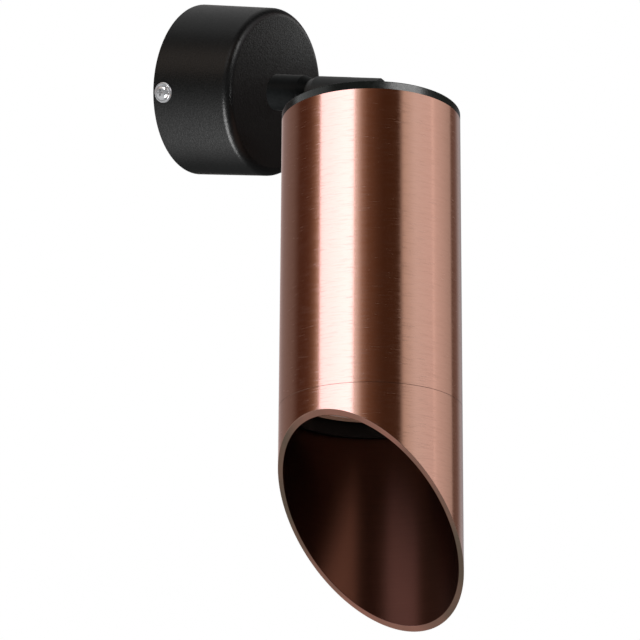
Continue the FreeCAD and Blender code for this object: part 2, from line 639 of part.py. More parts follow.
def arm_neck():
    """Turned bar with a fork sawn in its end, rounded below so that the cap can turn past it."""
    neck = turned([(0, NECK_START), (GROOVE_RADIUS, NECK_START),
                   (NECK_RADIUS, NECK_START + NECK_BACK_CHAMFER_LENGTH),
                   (NECK_RADIUS, NECK_END - NECK_END_CHAMFER_LENGTH),
                   (NECK_RADIUS - NECK_END_CHAMFER_DEPTH, NECK_END), (0, NECK_END)])
    fork_back = PIVOT_REACH - FORK_CUT_BEHIND_PIVOT
    across = 2 * NECK_RADIUS
    neck = neck.cut(rod(NIPPLE_RADIUS + FIXED_CLEARANCE, NECK_START - OVERRUN, NIPPLE_END))
    neck = neck.cut(rod(NIPPLE_BORE_RADIUS - WIRE_BORE_STEP, NECK_START, fork_back + OVERRUN))
    neck = neck.cut(block(2 * FORK_HALF_WIDTH, across + OVERRUN, fork_back, NECK_END + OVERRUN))
    corner = block(across + OVERRUN, across, PIVOT_REACH, NECK_END + OVERRUN, 0, -NECK_RADIUS)
    round_end = cross_rod(FORK_ROUNDING_RADIUS, -across, across, 0, PIVOT_REACH)
    neck = neck.cut(corner.cut(round_end))
    neck = neck.cut(cross_rod(TILT_SCREW_RADIUS + FIXED_CLEARANCE, -across, across, 0, PIVOT_REACH))
    seat = FORK_HALF_WIDTH + TILT_SCREW_SEAT_WALL
    neck = neck.cut(cross_rod(TILT_SCREW_HEAD_RADIUS + HOLE_CLEARANCE, -across, -seat, 0,
                              PIVOT_REACH))
    return on_arm(neck)


def swivel_nipple():
    """Hollow threaded tube from the nuts in the rose to the neck."""
    return on_arm(ring(NIPPLE_RADIUS, NIPPLE_BORE_RADIUS, NIPPLE_START, NIPPLE_END))


def stop_washer():
    """Washer with an ear that meets the rose's stud at the end of the swing."""
    low = CUP_SPRING_FRONT
    high = ROSE_INNER_FACE
    washer = rod(STOP_WASHER_RADIUS, low, high)
    ear = block(STOP_EAR_WIDTH, STOP_EAR_REACH, low, high, 0, -STOP_EAR_REACH / 2)
    washer = united([washer, ear])
    return on_arm(washer.cut(rod(NIPPLE_RADIUS + FIXED_CLEARANCE, low - OVERRUN, high + OVERRUN)))


def cup_spring():
    """Dished spring washer that loads the swivel."""
    bore = NIPPLE_RADIUS + RUNNING_CLEARANCE
    front = CUP_SPRING_FRONT
    spring = turned([(bore, front - CUP_SPRING_DISH), (CUP_SPRING_RADIUS, front),
                     (CUP_SPRING_RADIUS, front - CUP_SPRING_THICKNESS), (bore, NUT_FRONT)])
    return on_arm(spring)


def nipple_nuts():
    """Two thin nuts locked against each other behind the spring."""
    nuts = []
    for index in range(NIPPLE_NUT_COUNT):
        high = NUT_FRONT - index * NIPPLE_NUT_THICKNESS
        low = high - NIPPLE_NUT_THICKNESS
        nut = hexagon(NIPPLE_NUT_ACROSS_FLATS, low, high)
        nut = nut.cut(rod(NIPPLE_RADIUS + FIXED_CLEARANCE, low - OVERRUN, high + OVERRUN))
        nuts.append(on_arm(nut))
    return Part.makeCompound(nuts)


def tilt_screw():
    """Slotted screw across the fork: it is the tilt axis."""
    seat = -FORK_HALF_WIDTH - TILT_SCREW_SEAT_WALL
    outer = seat - TILT_SCREW_HEAD_HEIGHT
    tip = NECK_RADIUS - TILT_SCREW_SHORT_OF_SURFACE
    head = cross_rod(TILT_SCREW_HEAD_RADIUS, outer, seat, 0, PIVOT_REACH)
    screw = united([head, cross_rod(TILT_SCREW_RADIUS, seat, tip, 0, PIVOT_REACH)])
    driver = block(2 * TILT_SCREW_SLOT_DEPTH, 4 * TILT_SCREW_HEAD_RADIUS,
                   PIVOT_REACH - TILT_SCREW_SLOT_WIDTH / 2,
                   PIVOT_REACH + TILT_SCREW_SLOT_WIDTH / 2, outer)
    return on_arm(screw.cut(driver))


def tilt_washers():
    """Friction washers between the fork's cheeks and the tongue."""
    washers = []
    for side in SIDES:
        near = TONGUE_THICKNESS / 2 + FACE_PLAY
        far = FORK_HALF_WIDTH
        low = min(side * near, side * far)
        high = max(side * near, side * far)
        washer = cross_rod(TILT_WASHER_RADIUS, low, high, 0, PIVOT_REACH)
        hole = cross_rod(TILT_SCREW_RADIUS + FIXED_CLEARANCE, low - OVERRUN, high + OVERRUN, 0,
                         PIVOT_REACH)
        washers.append(on_arm(washer.cut(hole)))
    return Part.makeCompound(washers)


def tongue_screw_places():
    """Sideways places of the screws that hold tongue and stirrup to the cap."""
    return [side * (TONGUE_FOOT_WIDTH / 2 - TONGUE_SCREW_EDGE) for side in SIDES]


def pivot_tongue():
    """Tongue with a round end on the tilt axis, and a foot under the cap."""
    stem = block(TONGUE_THICKNESS, TONGUE_WIDTH, CAP_UNDERSIDE, 0)
    eye = cross_rod(TONGUE_WIDTH / 2, -TONGUE_THICKNESS / 2, TONGUE_THICKNESS / 2, 0, 0)
    foot = block(TONGUE_FOOT_WIDTH, TONGUE_FOOT_DEPTH, FOOT_BOTTOM, CAP_UNDERSIDE)
    tongue = united([stem, eye, foot])
    tongue = tongue.cut(cross_rod(TILT_SCREW_RADIUS + RUNNING_CLEARANCE, -TONGUE_THICKNESS,
                                  TONGUE_THICKNESS, 0, 0))
    for x in tongue_screw_places():
        tongue = tongue.cut(rod(TONGUE_SCREW_RADIUS + HOLE_CLEARANCE, FOOT_BOTTOM - OVERRUN,
                                CAP_UNDERSIDE, x))
    return on_head(tongue)


def tongue_screws():
    """Screws up through stirrup and foot into the cap."""
    screws = []
    seat = FOOT_BOTTOM - STIRRUP_THICKNESS
    bottom = seat - TONGUE_SCREW_HEAD_HEIGHT
    for x in tongue_screw_places():
        head = rod(TONGUE_SCREW_HEAD_RADIUS, bottom, seat, x)
        shank = rod(TONGUE_SCREW_RADIUS, seat, CAP_UNDERSIDE + TONGUE_SCREW_BITE, x)
        screw = united([head, shank])
        screw = screw.cut(block(2 * TONGUE_SCREW_HEAD_RADIUS, TILT_SCREW_SLOT_WIDTH,
                                bottom - OVERRUN, bottom + TILT_SCREW_SLOT_DEPTH, x))
        screws.append(on_head(screw))
    return Part.makeCompound(screws)


def top_cap():
    """Disc that closes the tube, with a spigot inside it, a slot for the tongue and a wire hole."""
    disc = rod(TUBE_RADIUS, CAP_UNDERSIDE, CAP_TOP)
    disc = fillet_where(disc, CAP_EDGE_RADIUS, lambda box: box.ZMin > CAP_UNDERSIDE + CAP_EDGE_RADIUS)
    spigot_radius = TUBE_BORE_RADIUS - FIXED_CLEARANCE
    spigot = ring(spigot_radius, spigot_radius - CAP_SPIGOT_WALL,
                  CAP_UNDERSIDE - CAP_SPIGOT_LENGTH, CAP_UNDERSIDE)
    cap = united([disc, spigot])
    above = CAP_TOP + OVERRUN
    below = CAP_UNDERSIDE - OVERRUN
    cap = cap.cut(block(TONGUE_THICKNESS + 2 * FIXED_CLEARANCE,
                        TONGUE_WIDTH + 2 * FIXED_CLEARANCE, below, above))
    wire_hole_place = TONGUE_FOOT_DEPTH / 2 + CAP_WIRE_HOLE_GAP + CAP_WIRE_HOLE_RADIUS
    cap = cap.cut(rod(CAP_WIRE_HOLE_RADIUS, below, above, 0, wire_hole_place))
    for x in tongue_screw_places():
        cap = cap.cut(rod(TONGUE_SCREW_RADIUS + FIXED_CLEARANCE, below,
                          CAP_UNDERSIDE + TONGUE_SCREW_BITE, x))
    return on_head(cap)


def body_tube():
    """Plain tube between cap and seam."""
    return on_head(ring(TUBE_RADIUS, TUBE_BORE_RADIUS, TUBE_BOTTOM, CAP_UNDERSIDE))


def holder_screw_places():
    """Sideways places of the screws that hold the lamp holder to the stirrup."""
    return [side * (HOLDER_WIDTH / 2 - HOLDER_SCREW_EDGE) for side in SIDES]


def holder_bracket():
    """Stirrup of bent strip: two flanges under the cap, two legs and a floor."""
    half = STIRRUP_WIDTH / 2
    outside = block(STIRRUP_WIDTH, STIRRUP_DEPTH, STIRRUP_BOTTOM, FOOT_BOTTOM)
    inside = block(STIRRUP_WIDTH - 2 * STIRRUP_THICKNESS, STIRRUP_DEPTH + OVERRUN,
                   STIRRUP_BOTTOM + STIRRUP_THICKNESS, FOOT_BOTTOM - STIRRUP_THICKNESS)
    outside = fillet_where(outside, STIRRUP_BEND_RADIUS, lambda box: box.YLength > STIRRUP_DEPTH / 2
                           and box.XLength < half)
    inside = fillet_where(inside, STIRRUP_BEND_RADIUS - STIRRUP_THICKNESS,
                          lambda box: box.YLength > STIRRUP_DEPTH / 2 and box.XLength < half)
    strip = outside.cut(inside)
    top = FOOT_BOTTOM + OVERRUN
    flange_low = FOOT_BOTTOM - STIRRUP_THICKNESS - OVERRUN
    floor_low = STIRRUP_BOTTOM - OVERRUN
    floor_high = STIRRUP_BOTTOM + STIRRUP_THICKNESS + OVERRUN
    strip = strip.cut(block(STIRRUP_TOP_GAP, STIRRUP_DEPTH + OVERRUN, flange_low, top))
    strip = strip.cut(rod(STIRRUP_WIRE_HOLE_RADIUS, floor_low, floor_high))
    for x in tongue_screw_places():
        strip = strip.cut(rod(TONGUE_SCREW_RADIUS + HOLE_CLEARANCE, flange_low, top, x))
    for x in holder_screw_places():
        strip = strip.cut(rod(HOLDER_SCREW_RADIUS + HOLE_CLEARANCE, floor_low, floor_high, x))
    return on_head(strip)


def pin_turns():
    """Turn of each locked pin about the lamp's axis."""
    return (QUARTER_TURN, QUARTER_TURN + HALF_TURN)


def lamp_holder():
    """Ceramic block with two keyhole slots, in which the lamp's pins lock by a twist."""
    body = block(HOLDER_WIDTH, HOLDER_DEPTH, HOLDER_BOTTOM, STIRRUP_BOTTOM)
    body = fillet_where(body, HOLDER_CORNER_RADIUS, lambda box: box.ZLength > HOLDER_HEIGHT / 2)
    below = HOLDER_BOTTOM - OVERRUN
    above = STIRRUP_BOTTOM + OVERRUN
    for turn in pin_turns():
        entry = rod(PIN_HEAD_RADIUS + PIN_CLEARANCE, below, CAVITY_TOP, PIN_CIRCLE_RADIUS)
        entry.rotate(ORIGIN, Z_AXIS, turn - LOCK_TWIST)
        lead_hole = rod(HOLDER_LEAD_HOLE_RADIUS, CAVITY_TOP - FIXED_CLEARANCE, above,
                        PIN_CIRCLE_RADIUS)
        lead_hole.rotate(ORIGIN, Z_AXIS, turn)
        body = body.cut(entry)
        body = body.cut(lead_hole)
        body = body.cut(arc_slot(PIN_NECK_RADIUS + PIN_CLEARANCE, below, CAVITY_BOTTOM,
                                 turn - LOCK_TWIST, LOCK_TWIST))
        body = body.cut(arc_slot(PIN_HEAD_RADIUS + PIN_CLEARANCE, CAVITY_BOTTOM, CAVITY_TOP,
                                 turn - LOCK_TWIST, LOCK_TWIST))
    for x in holder_screw_places():
        body = body.cut(rod(HOLDER_SCREW_RADIUS + HOLE_CLEARANCE, below, above, x))
        body = body.cut(rod(HOLDER_SCREW_HEAD_RADIUS + HOLE_CLEARANCE, below,
                            HOLDER_BOTTOM + HOLDER_SCREW_SINK, x))
    return on_head(body)


def holder_contacts():
    """Bronze strips at the top of the cavities, which the pins' heads slide under."""
    contacts = []
    for turn in pin_turns():
        strip = arc_slot(CONTACT_WIDTH / 2, CAVITY_TOP - CONTACT_THICKNESS, CAVITY_TOP,
                         turn - LOCK_TWIST, LOCK_TWIST)
        contacts.append(on_head(strip))
    return Part.makeCompound(contacts)


def holder_screws():
    """Screws up through the holder into nuts on the stirrup's floor."""
    screws = []
    seat = HOLDER_BOTTOM + HOLDER_SCREW_SINK
    bottom = seat - HOLDER_SCREW_HEAD_HEIGHT
    tip = STIRRUP_BOTTOM + STIRRUP_THICKNESS + HOLDER_NUT_THICKNESS + HOLDER_SCREW_TAIL
    for x in holder_screw_places():
        screw = united([rod(HOLDER_SCREW_HEAD_RADIUS, bottom, seat, x),
                        rod(HOLDER_SCREW_RADIUS, seat, tip, x)])
        screw = screw.cut(block(2 * HOLDER_SCREW_HEAD_RADIUS, CLAMP_SLOT_WIDTH, bottom - OVERRUN,
                                bottom + CLAMP_SLOT_DEPTH, x))
        screws.append(on_head(screw))
    return Part.makeCompound(screws)


def holder_nuts():
    """Nuts on the stirrup's floor."""
    nuts = []
    low = STIRRUP_BOTTOM + STIRRUP_THICKNESS
    high = low + HOLDER_NUT_THICKNESS
    for x in holder_screw_places():
        nut = hexagon(HOLDER_NUT_ACROSS_FLATS, low, high, x)
        nut = nut.cut(rod(HOLDER_SCREW_RADIUS + FIXED_CLEARANCE, low - OVERRUN, high + OVERRUN, x))
        nuts.append(on_head(nut))
    return Part.makeCompound(nuts)


def lamp_housing():
    """Fluted reflector housing with a rim, and a recess for the lens."""
    neck_bottom = LAMP_TOP - LAMP_NECK_LENGTH
    body_bottom = neck_bottom - LAMP_BODY_LENGTH
    rim_top = LAMP_FACE + LAMP_RIM_HEIGHT
    shell = turned([(0, LAMP_TOP), (LAMP_NECK_RADIUS, LAMP_TOP), (LAMP_NECK_RADIUS, neck_bottom),
                    (LAMP_BODY_RADIUS, neck_bottom), (LAMP_BODY_RADIUS, body_bottom),
                    (LAMP_RADIUS, rim_top), (LAMP_RADIUS, LAMP_FACE), (0, LAMP_FACE)])
    slant_radius = (LAMP_BODY_RADIUS + LAMP_RADIUS) / 2
    slant_height = body_bottom - rim_top
    lean = math.degrees(math.atan2(LAMP_RADIUS - LAMP_BODY_RADIUS, slant_height))
    for index in range(LAMP_FLUTE_COUNT):
        flute = block(2 * LAMP_FLUTE_DEPTH, LAMP_FLUTE_WIDTH, -slant_height / 2, slant_height / 2)
        flute.rotate(ORIGIN, Y_AXIS, -lean)
        flute.translate(Vector(slant_radius, 0, (body_bottom + rim_top) / 2))
        flute.rotate(ORIGIN, Z_AXIS, FULL_TURN * index / LAMP_FLUTE_COUNT)
        shell = shell.cut(flute)
    recess = rod(LAMP_RADIUS - LAMP_RIM_WIDTH, LAMP_FACE - OVERRUN, LAMP_FACE + LENS_RECESS)
    return on_head(shell.cut(recess))


def lamp_lens():
    """Flat diffusing lens in the lamp's face."""
    high = LAMP_FACE + LENS_RECESS
    return on_head(rod(LAMP_RADIUS - LAMP_RIM_WIDTH - FIXED_CLEARANCE, high - LENS_THICKNESS, high))


def lamp_pins():
    """The two headed pins on top of the lamp."""
    pins = []
    for turn in pin_turns():
        head_low = LAMP_TOP + PIN_NECK_LENGTH
        pin = united([rod(PIN_NECK_RADIUS, LAMP_TOP, head_low, PIN_CIRCLE_RADIUS),
                      rod(PIN_HEAD_RADIUS, head_low, head_low + PIN_HEAD_LENGTH,
                          PIN_CIRCLE_RADIUS)])
        pin.rotate(ORIGIN, Z_AXIS, turn)
        pins.append(on_head(pin))
    return Part.makeCompound(pins)


def slant_shade():
    """Tube cut off by a slanted plane, from a short side to a long tip."""
    short_end = SHADE_TOP - SHADE_SHORT_SIDE
    long_end = SHADE_TOP - SHADE_LONG_SIDE
    shade = ring(TUBE_RADIUS, SHADE_BORE_RADIUS, long_end, SHADE_TOP)
    slope = (long_end - short_end) / (2 * TUBE_RADIUS)
    wide = TUBE_RADIUS + OVERRUN
    low = long_end + slope * OVERRUN - OVERRUN
    corners = [Vector(-wide, -wide, short_end - slope * OVERRUN),
               Vector(wide, -wide, long_end + slope * OVERRUN),
               Vector(wide, -wide, low),
               Vector(-wide, -wide, low)]
    below_cut = Part.Face(Part.makePolygon(corners + corners[:1])).extrude(Vector(0, 2 * wide, 0))
    return on_shade(shade.cut(below_cut))


def ring_radius_in_tube():
    """Outer radius of the shade's ring where it turns in the tube."""
    return TUBE_BORE_RADIUS - RUNNING_CLEARANCE


def ring_bore_radius():
    """Inner radius of the shade's ring."""
    return ring_radius_in_tube() - RING_WALL


def shade_ring():
    """Ring fixed in the shade that turns in the tube, with a groove for the grip ring."""
    bore = ring_bore_radius()
    lower = SHADE_BORE_RADIUS - FIXED_CLEARANCE
    upper = ring_radius_in_tube()
    floor = bore + GRIP_GROOVE_FLOOR
    groove_middle = SHADE_TOP + GRIP_GROOVE_ABOVE_SEAM
    groove_low = groove_middle - GRIP_GROOVE_WIDTH / 2
    groove_high = groove_middle + GRIP_GROOVE_WIDTH / 2
    bottom = SHADE_TOP - RING_IN_SHADE
    top = SHADE_TOP + RING_IN_TUBE
    collar = turned([(bore, bottom), (lower, bottom), (lower, SHADE_TOP),
                     (upper, SHADE_TOP), (upper, groove_low), (floor, groove_low),
                     (floor, groove_high), (upper, groove_high), (upper, top), (bore, top)])
    return on_shade(collar)


def grip_ring():
    """Rubber ring in the groove that holds the shade by friction."""
    middle = SHADE_TOP + GRIP_GROOVE_ABOVE_SEAM
    half = GRIP_GROOVE_WIDTH / 2 - FIXED_CLEARANCE
    inner = ring_bore_radius() + GRIP_GROOVE_FLOOR + FIXED_CLEARANCE
    return on_shade(ring(TUBE_BORE_RADIUS - FIXED_CLEARANCE, inner, middle - half, middle + half))


PIECES = [rose_cover, cover_screws, mounting_plate, cable_bush, earth_washer, earth_screw,
          terminal_block, terminal_inserts, terminal_screws, block_screws, arm_sleeve,
          slide_washer, arm_neck, swivel_nipple, stop_washer, cup_spring, nipple_nuts, tilt_screw,
          tilt_washers, pivot_tongue, tongue_screws, top_cap, body_tube, holder_bracket,
          lamp_holder, holder_contacts, holder_screws, holder_nuts, lamp_housing, lamp_lens,
          lamp_pins, slant_shade, shade_ring, grip_ring]

os.makedirs("parts", exist_ok=True)
for piece in PIECES:
    shape = piece()
    shape.exportStep("parts/" + piece.__name__ + ".step")
    print(piece.__name__, "solids", len(shape.Solids), "valid", shape.isValid(),
          "volume", round(shape.Volume, 1))
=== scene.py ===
# %% [markdown]
# # A wall spot lamp with a slanted copper shade
#
# This notebook dresses a wall lamp: a black round rose, a black arm with a tilting joint, and a
# brushed copper tube whose shade is cut off at a slant. The working model of the lamp is loaded
# first, and every piece made here is measured from it and rides on one of its moving bodies.

# %% Load the working model
import json
import math

import bmesh
import bpy
from mathutils import Matrix, Vector


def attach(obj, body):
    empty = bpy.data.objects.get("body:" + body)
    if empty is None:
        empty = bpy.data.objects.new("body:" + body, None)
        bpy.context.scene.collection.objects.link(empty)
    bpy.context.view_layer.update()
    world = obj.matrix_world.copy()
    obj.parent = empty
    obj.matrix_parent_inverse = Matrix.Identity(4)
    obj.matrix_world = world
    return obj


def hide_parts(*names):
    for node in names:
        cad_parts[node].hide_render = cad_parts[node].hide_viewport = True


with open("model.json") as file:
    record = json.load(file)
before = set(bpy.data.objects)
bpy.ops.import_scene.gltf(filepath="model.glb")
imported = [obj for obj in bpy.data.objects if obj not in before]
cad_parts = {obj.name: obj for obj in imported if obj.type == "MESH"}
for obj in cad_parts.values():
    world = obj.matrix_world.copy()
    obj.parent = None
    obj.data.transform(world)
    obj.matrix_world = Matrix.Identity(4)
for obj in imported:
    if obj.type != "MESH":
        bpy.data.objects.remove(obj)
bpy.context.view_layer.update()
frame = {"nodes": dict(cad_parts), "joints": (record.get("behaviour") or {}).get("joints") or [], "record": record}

nodes = frame["nodes"]

# %% [markdown]
# ## Directions of the wall and of the head
#
# The head hangs askew, so its sizes are easiest to read in its own frame: x along the tilt axis,
# z up the tube, and the pivot as origin. The joints of the model give both axes. The rose is
# round about the line that leads away from the wall, so its frame has z along that line. A matrix
# for each lets every piece be drawn upright and then be put in place at once.

# %% Frames of the wall and of the head
joints = {joint["name"]: joint for joint in frame["joints"]}
pivot = Vector(joints["head_tilt"]["pos_m"])
tilt_axis = -Vector(joints["head_tilt"]["axis"])
tube_axis = Vector(joints["lamp_twist"]["axis"])
head_turn = Matrix((tilt_axis, tube_axis.cross(tilt_axis), tube_axis)).transposed()
ON_HEAD = Matrix.Translation(pivot) @ head_turn.to_4x4()
ON_WALL = Matrix.Rotation(math.pi / 2, 4, "X")
print("pivot", tuple(pivot), "tube axis", tuple(tube_axis))

# %% [markdown]
# ## Sizes read from the model
#
# A size that is typed in twice goes wrong once. So radii and lengths are read from the model's
# nodes: each node's corners are seen from a frame, and the largest radius round z, the lowest and
# the highest z are kept.

# %% Measure a node
def corners_in(node, place):
    """The node's corners, seen from a frame, in metres."""
    back = place.inverted()
    return [back @ vertex.co for vertex in nodes[node].data.vertices]


def off_axis(corner):
    """A corner's distance from the frame's z axis."""
    return math.hypot(corner.x, corner.y)


def turned_size(node, place):
    """Largest radius round z, lowest and highest z of a node in a frame."""
    corners = corners_in(node, place)
    heights = [corner.z for corner in corners]
    return max(map(off_axis, corners)), min(heights), max(heights)


tube_radius, tube_bottom, tube_top = turned_size("body_tube", ON_HEAD)
tube_bore = min(map(off_axis, corners_in("body_tube", ON_HEAD)))
print("tube", tube_radius, tube_bore, tube_bottom, tube_top)

# %% [markdown]
# ## The shade's slant
#
# The shade is longest at its tip and shortest opposite. Its cut edge is every outer corner below
# the square upper end. The lowest corner of that edge is the tip, which also tells how far the
# shade is turned round the tube.

# %% Measure the shade
shade_radius, shade_tip, shade_top = turned_size("slant_shade", ON_HEAD)
shade_corners = corners_in("slant_shade", ON_HEAD)
shade_bore = min(map(off_axis, shade_corners))
slack = 0.0001
outside = shade_radius - slack
below_top = shade_top - 0.001
cut_line = [corner for corner in shade_corners
            if off_axis(corner) > outside and corner.z < below_top]
shade_short = max(corner.z for corner in cut_line)
tip_corner = min(cut_line, key=lambda corner: corner.z)
tip_turn = math.atan2(tip_corner.y, tip_corner.x)
print("shade", shade_radius, shade_bore, shade_top, shade_short, shade_tip,
      "tip at", round(math.degrees(tip_turn), 1), "degrees")

# %% [markdown]
# ## Short ways to write a node tree
#
# Materials, the studio and Geometry Nodes are all built from nodes. Small helpers keep the cells
# below short: one adds a node with its inputs, one adds a sum, one binds that sum to a tree.

# %% Helpers for node trees
def step(tree, kind, settings=None, **inputs):
    """A node with some of its inputs set or linked, by name, or by number as _0, _1 and so on."""
    node = tree.nodes.new(kind)
    for key, value in (settings or {}).items():
        setattr(node, key, value)
    for title, value in inputs.items():
        number = title[1:]
        socket = node.inputs[int(number) if number.isdigit() else title.replace("_", " ")]
        if isinstance(value, bpy.types.NodeSocket):
            tree.links.new(value, socket)
        else:
            socket.default_value = value
    return node


def maths(tree, operation, first, second=0.0):
    """Result of one sum on two values."""
    return step(tree, "ShaderNodeMath", {"operation": operation}, _0=first, _1=second).outputs[0]


def sums_in(tree):
    """The same helper, bound to one tree."""
    return lambda operation, first, second=0.0: maths(tree, operation, first, second)


print("node helpers ready")

# %% [markdown]
# ## How a finish is made
#
# Every finish here is one Principled shader with procedural detail: a noise stretched into brush
# lines, a fine grain, or a soft blotch. The noise moves the colour a little, moves the roughness
# a little, and raises a bump. Patterns read Object coordinates through a Mapping node of the
# Texture kind, so a pattern can be given its grain size in metres along each axis of a frame.

# %% Helpers for patterns
def new_finish(name, colour, roughness, **values):
    """A material with one Principled shader; the rest are the shader's own sockets."""
    material = bpy.data.materials.new(name)
    material.use_nodes = True
    shader = material.node_tree.nodes["Principled BSDF"]
    shader.inputs["Base Color"].default_value = (*colour, 1)
    shader.inputs["Roughness"].default_value = roughness
    for socket, value in values.items():
        shader.inputs[socket.replace("_", " ")].default_value = value
    return material


def pattern_at(material, grain, place=Matrix.Identity(4)):
    """Object coordinates in a frame, divided by a grain size, one for all axes or one for each."""
    tree = material.node_tree
    mapping = step(tree, "ShaderNodeMapping", {"vector_type": "TEXTURE"},
                   Vector=step(tree, "ShaderNodeTexCoord").outputs["Object"],
                   Location=place.to_translation(), Rotation=place.to_euler(),
                   Scale=grain if isinstance(grain, tuple) else (grain, grain, grain))
    return mapping.outputs["Vector"]


def noise_on(material, vector, detail=2.0, roughness=0.5):
    """Noise of about one unit grain on a vector."""
    return step(material.node_tree, "ShaderNodeTexNoise", Vector=vector, Scale=1.0,
                Detail=detail, Roughness=roughness).outputs["Fac"]


def between(material, value, low, high, start=0.3, end=0.7):
    """Spreads a noise value over a range."""
    return step(material.node_tree, "ShaderNodeMapRange", Value=value, From_Min=start,
                From_Max=end, To_Min=low, To_Max=high).outputs["Result"]


print("pattern helpers ready")

# %% [markdown]
# ## What a pattern changes
#
# A noise alone is only a grey value. These helpers lead it to the shader: it blends two shades of
# the colour, drives the roughness, or raises the surface. The last one stretches the highlights,
# as brushing does, along the first direction of the piece's own UV map.

# %% Helpers for finishes
finishes = {}


def shader_of(material):
    """The sockets of the material's shader."""
    return material.node_tree.nodes["Principled BSDF"].inputs


def vary_colour(material, value, light, dark, start=0.3, end=0.7):
    """Blends the base colour between two shades by a noise value."""
    tree = material.node_tree
    blend = step(tree, "ShaderNodeMix", {"data_type": "RGBA"},
                 Factor=between(material, value, 0, 1, start, end), A=(*dark, 1), B=(*light, 1))
    tree.links.new(blend.outputs["Result"], shader_of(material)["Base Color"])


def vary_roughness(material, value, low, high):
    """Drives the roughness by a noise value."""
    material.node_tree.links.new(between(material, value, low, high),
                                 shader_of(material)["Roughness"])


def raise_bump(material, value, depth, strength=1.0):
    """Raises the surface by a noise value, to a depth in metres."""
    tree = material.node_tree
    bump = step(tree, "ShaderNodeBump", Strength=strength, Distance=depth, Height=value)
    tree.links.new(bump.outputs["Normal"], shader_of(material)["Normal"])


def stretch_gloss(material, amount):
    """Stretches the highlights along the first direction of the UV map."""
    tree = material.node_tree
    tangent = step(tree, "ShaderNodeTangent", {"direction_type": "UV_MAP", "uv_map": "brush"})
    shader_of(material)["Anisotropic"].default_value = amount
    tree.links.new(tangent.outputs["Tangent"], shader_of(material)["Tangent"])


print("finish helpers ready")

# %% [markdown]
# ## Brushed copper
#
# The tube and the shade are a copper-coloured plated metal, brushed round and round on a lathe.
# Each brush line scatters light up and down the tube but hardly sideways, so the studio shows in
# it as clean bands along its length. The shader's anisotropy does that, once its tangent follows
# the tube. A noise with a long grain round the tube and a very fine one along it draws the lines,
# and a second, sparser one leaves a few coarser strokes that catch the light beside a band.

# %% Copper finish
line_grain = (0.0060, 0.0060, 0.00030)
stroke_grain = (0.0052, 0.0052, 0.00030)
copper = new_finish("brushed_copper", (0.76, 0.45, 0.34), 0.2, Metallic=1.0)
lines = noise_on(copper, pattern_at(copper, line_grain, ON_HEAD), 3.0, 0.65)
strokes = noise_on(copper, pattern_at(copper, stroke_grain, ON_HEAD), 1.0, 0.5)
vary_colour(copper, lines, (0.792, 0.476, 0.363), (0.728, 0.424, 0.317))
roughness = maths(copper.node_tree, "ADD", between(copper, lines, 0.11, 0.21),
                  between(copper, strokes, 0.0, 0.08, 0.54, 0.68))
copper.node_tree.links.new(roughness, shader_of(copper)["Roughness"])
raise_bump(copper, lines, 0.0000015)
stretch_gloss(copper, 0.5)
finishes["brushed_copper"] = copper
print("copper with brush lines of", line_grain, "metres")

# %% [markdown]
# ## Dark bronze inside
#
# Inside, the shade is left a dark bronze, so that it doesn't throw the lamp's light about. It is
# turned on the same lathe, so its highlights are stretched as well, even more than outside, but
# its skin is matt. The ring above it is in deep shade, and its bronze is darkened to nearly black
# as painted shade, so it hardly shines.

# %% Inner bronze
bronze = new_finish("bronze_inner_finish", (0.110, 0.043, 0.027), 0.45, Metallic=0.97)
haze = noise_on(bronze, pattern_at(bronze, (0.020, 0.020, 0.0004), ON_HEAD), 3.0)
vary_colour(bronze, haze, (0.117, 0.046, 0.029), (0.103, 0.040, 0.025))
vary_roughness(bronze, haze, 0.42, 0.48)
raise_bump(bronze, haze, 0.000001)
stretch_gloss(bronze, 0.9)

# Painted shade: the ring's bronze is made nearly black for the deep shade it sits in.
shaded_ring_bronze = new_finish("bronze_ring_finish", (0.006, 0.0045, 0.004), 0.45,
                         Specular_IOR_Level=0.3)
swatch = noise_on(shaded_ring_bronze, pattern_at(shaded_ring_bronze, (0.004, 0.004, 0.0004), ON_HEAD))
vary_colour(shaded_ring_bronze, swatch, (0.0070, 0.0052, 0.0045), (0.0050, 0.0038, 0.0034))
vary_roughness(shaded_ring_bronze, swatch, 0.40, 0.52)
raise_bump(shaded_ring_bronze, swatch, 0.000004)
# The pieces in the inner bronze slot get this bronze with painted shade.
finishes["bronze_inner_finish"] = shaded_ring_bronze
print("bronze for the lining and for the ring")

# %% [markdown]
# ## Bare metal on the cut
#
# The slanted cut lays the metal bare. The saw and the file leave it finely scratched. It
# mirrors a different part of the room at each place of the oval, and that reflection is painted into
# its colour: reddish at its two ends, a dull brown on its two flanks. The squares of the places along
# and across the oval give that two-sided painted reflection, and a soft noise of stains breaks it up.
# A painted picture could hold this pattern too, but it would blur close up.

# %% Cut edge
cut_metal = new_finish("cut_copper_edge", (0.34, 0.18, 0.13), 0.38, Metallic=1.0)
scratches = noise_on(cut_metal, pattern_at(cut_metal, (0.0002, 0.003, 0.0002), ON_HEAD), 3.0)
stains = noise_on(cut_metal, pattern_at(cut_metal, 0.009, ON_HEAD), 1.0)
# Painted reflection: this frame sets where the cut's colour is reddish and where it is brown.
reflection_turn = tip_turn + math.radians(30)
reflection_frame = ON_HEAD @ Matrix.Rotation(reflection_turn, 4, "Z")
reckon = sums_in(cut_metal.node_tree)
spot = step(cut_metal.node_tree, "ShaderNodeSeparateXYZ",
            _0=pattern_at(cut_metal, 0.03, reflection_frame)).outputs
painted_reflection_shape = reckon("SUBTRACT", reckon("MULTIPLY", spot["X"], spot["X"]),
                   reckon("MULTIPLY", spot["Y"], spot["Y"]))
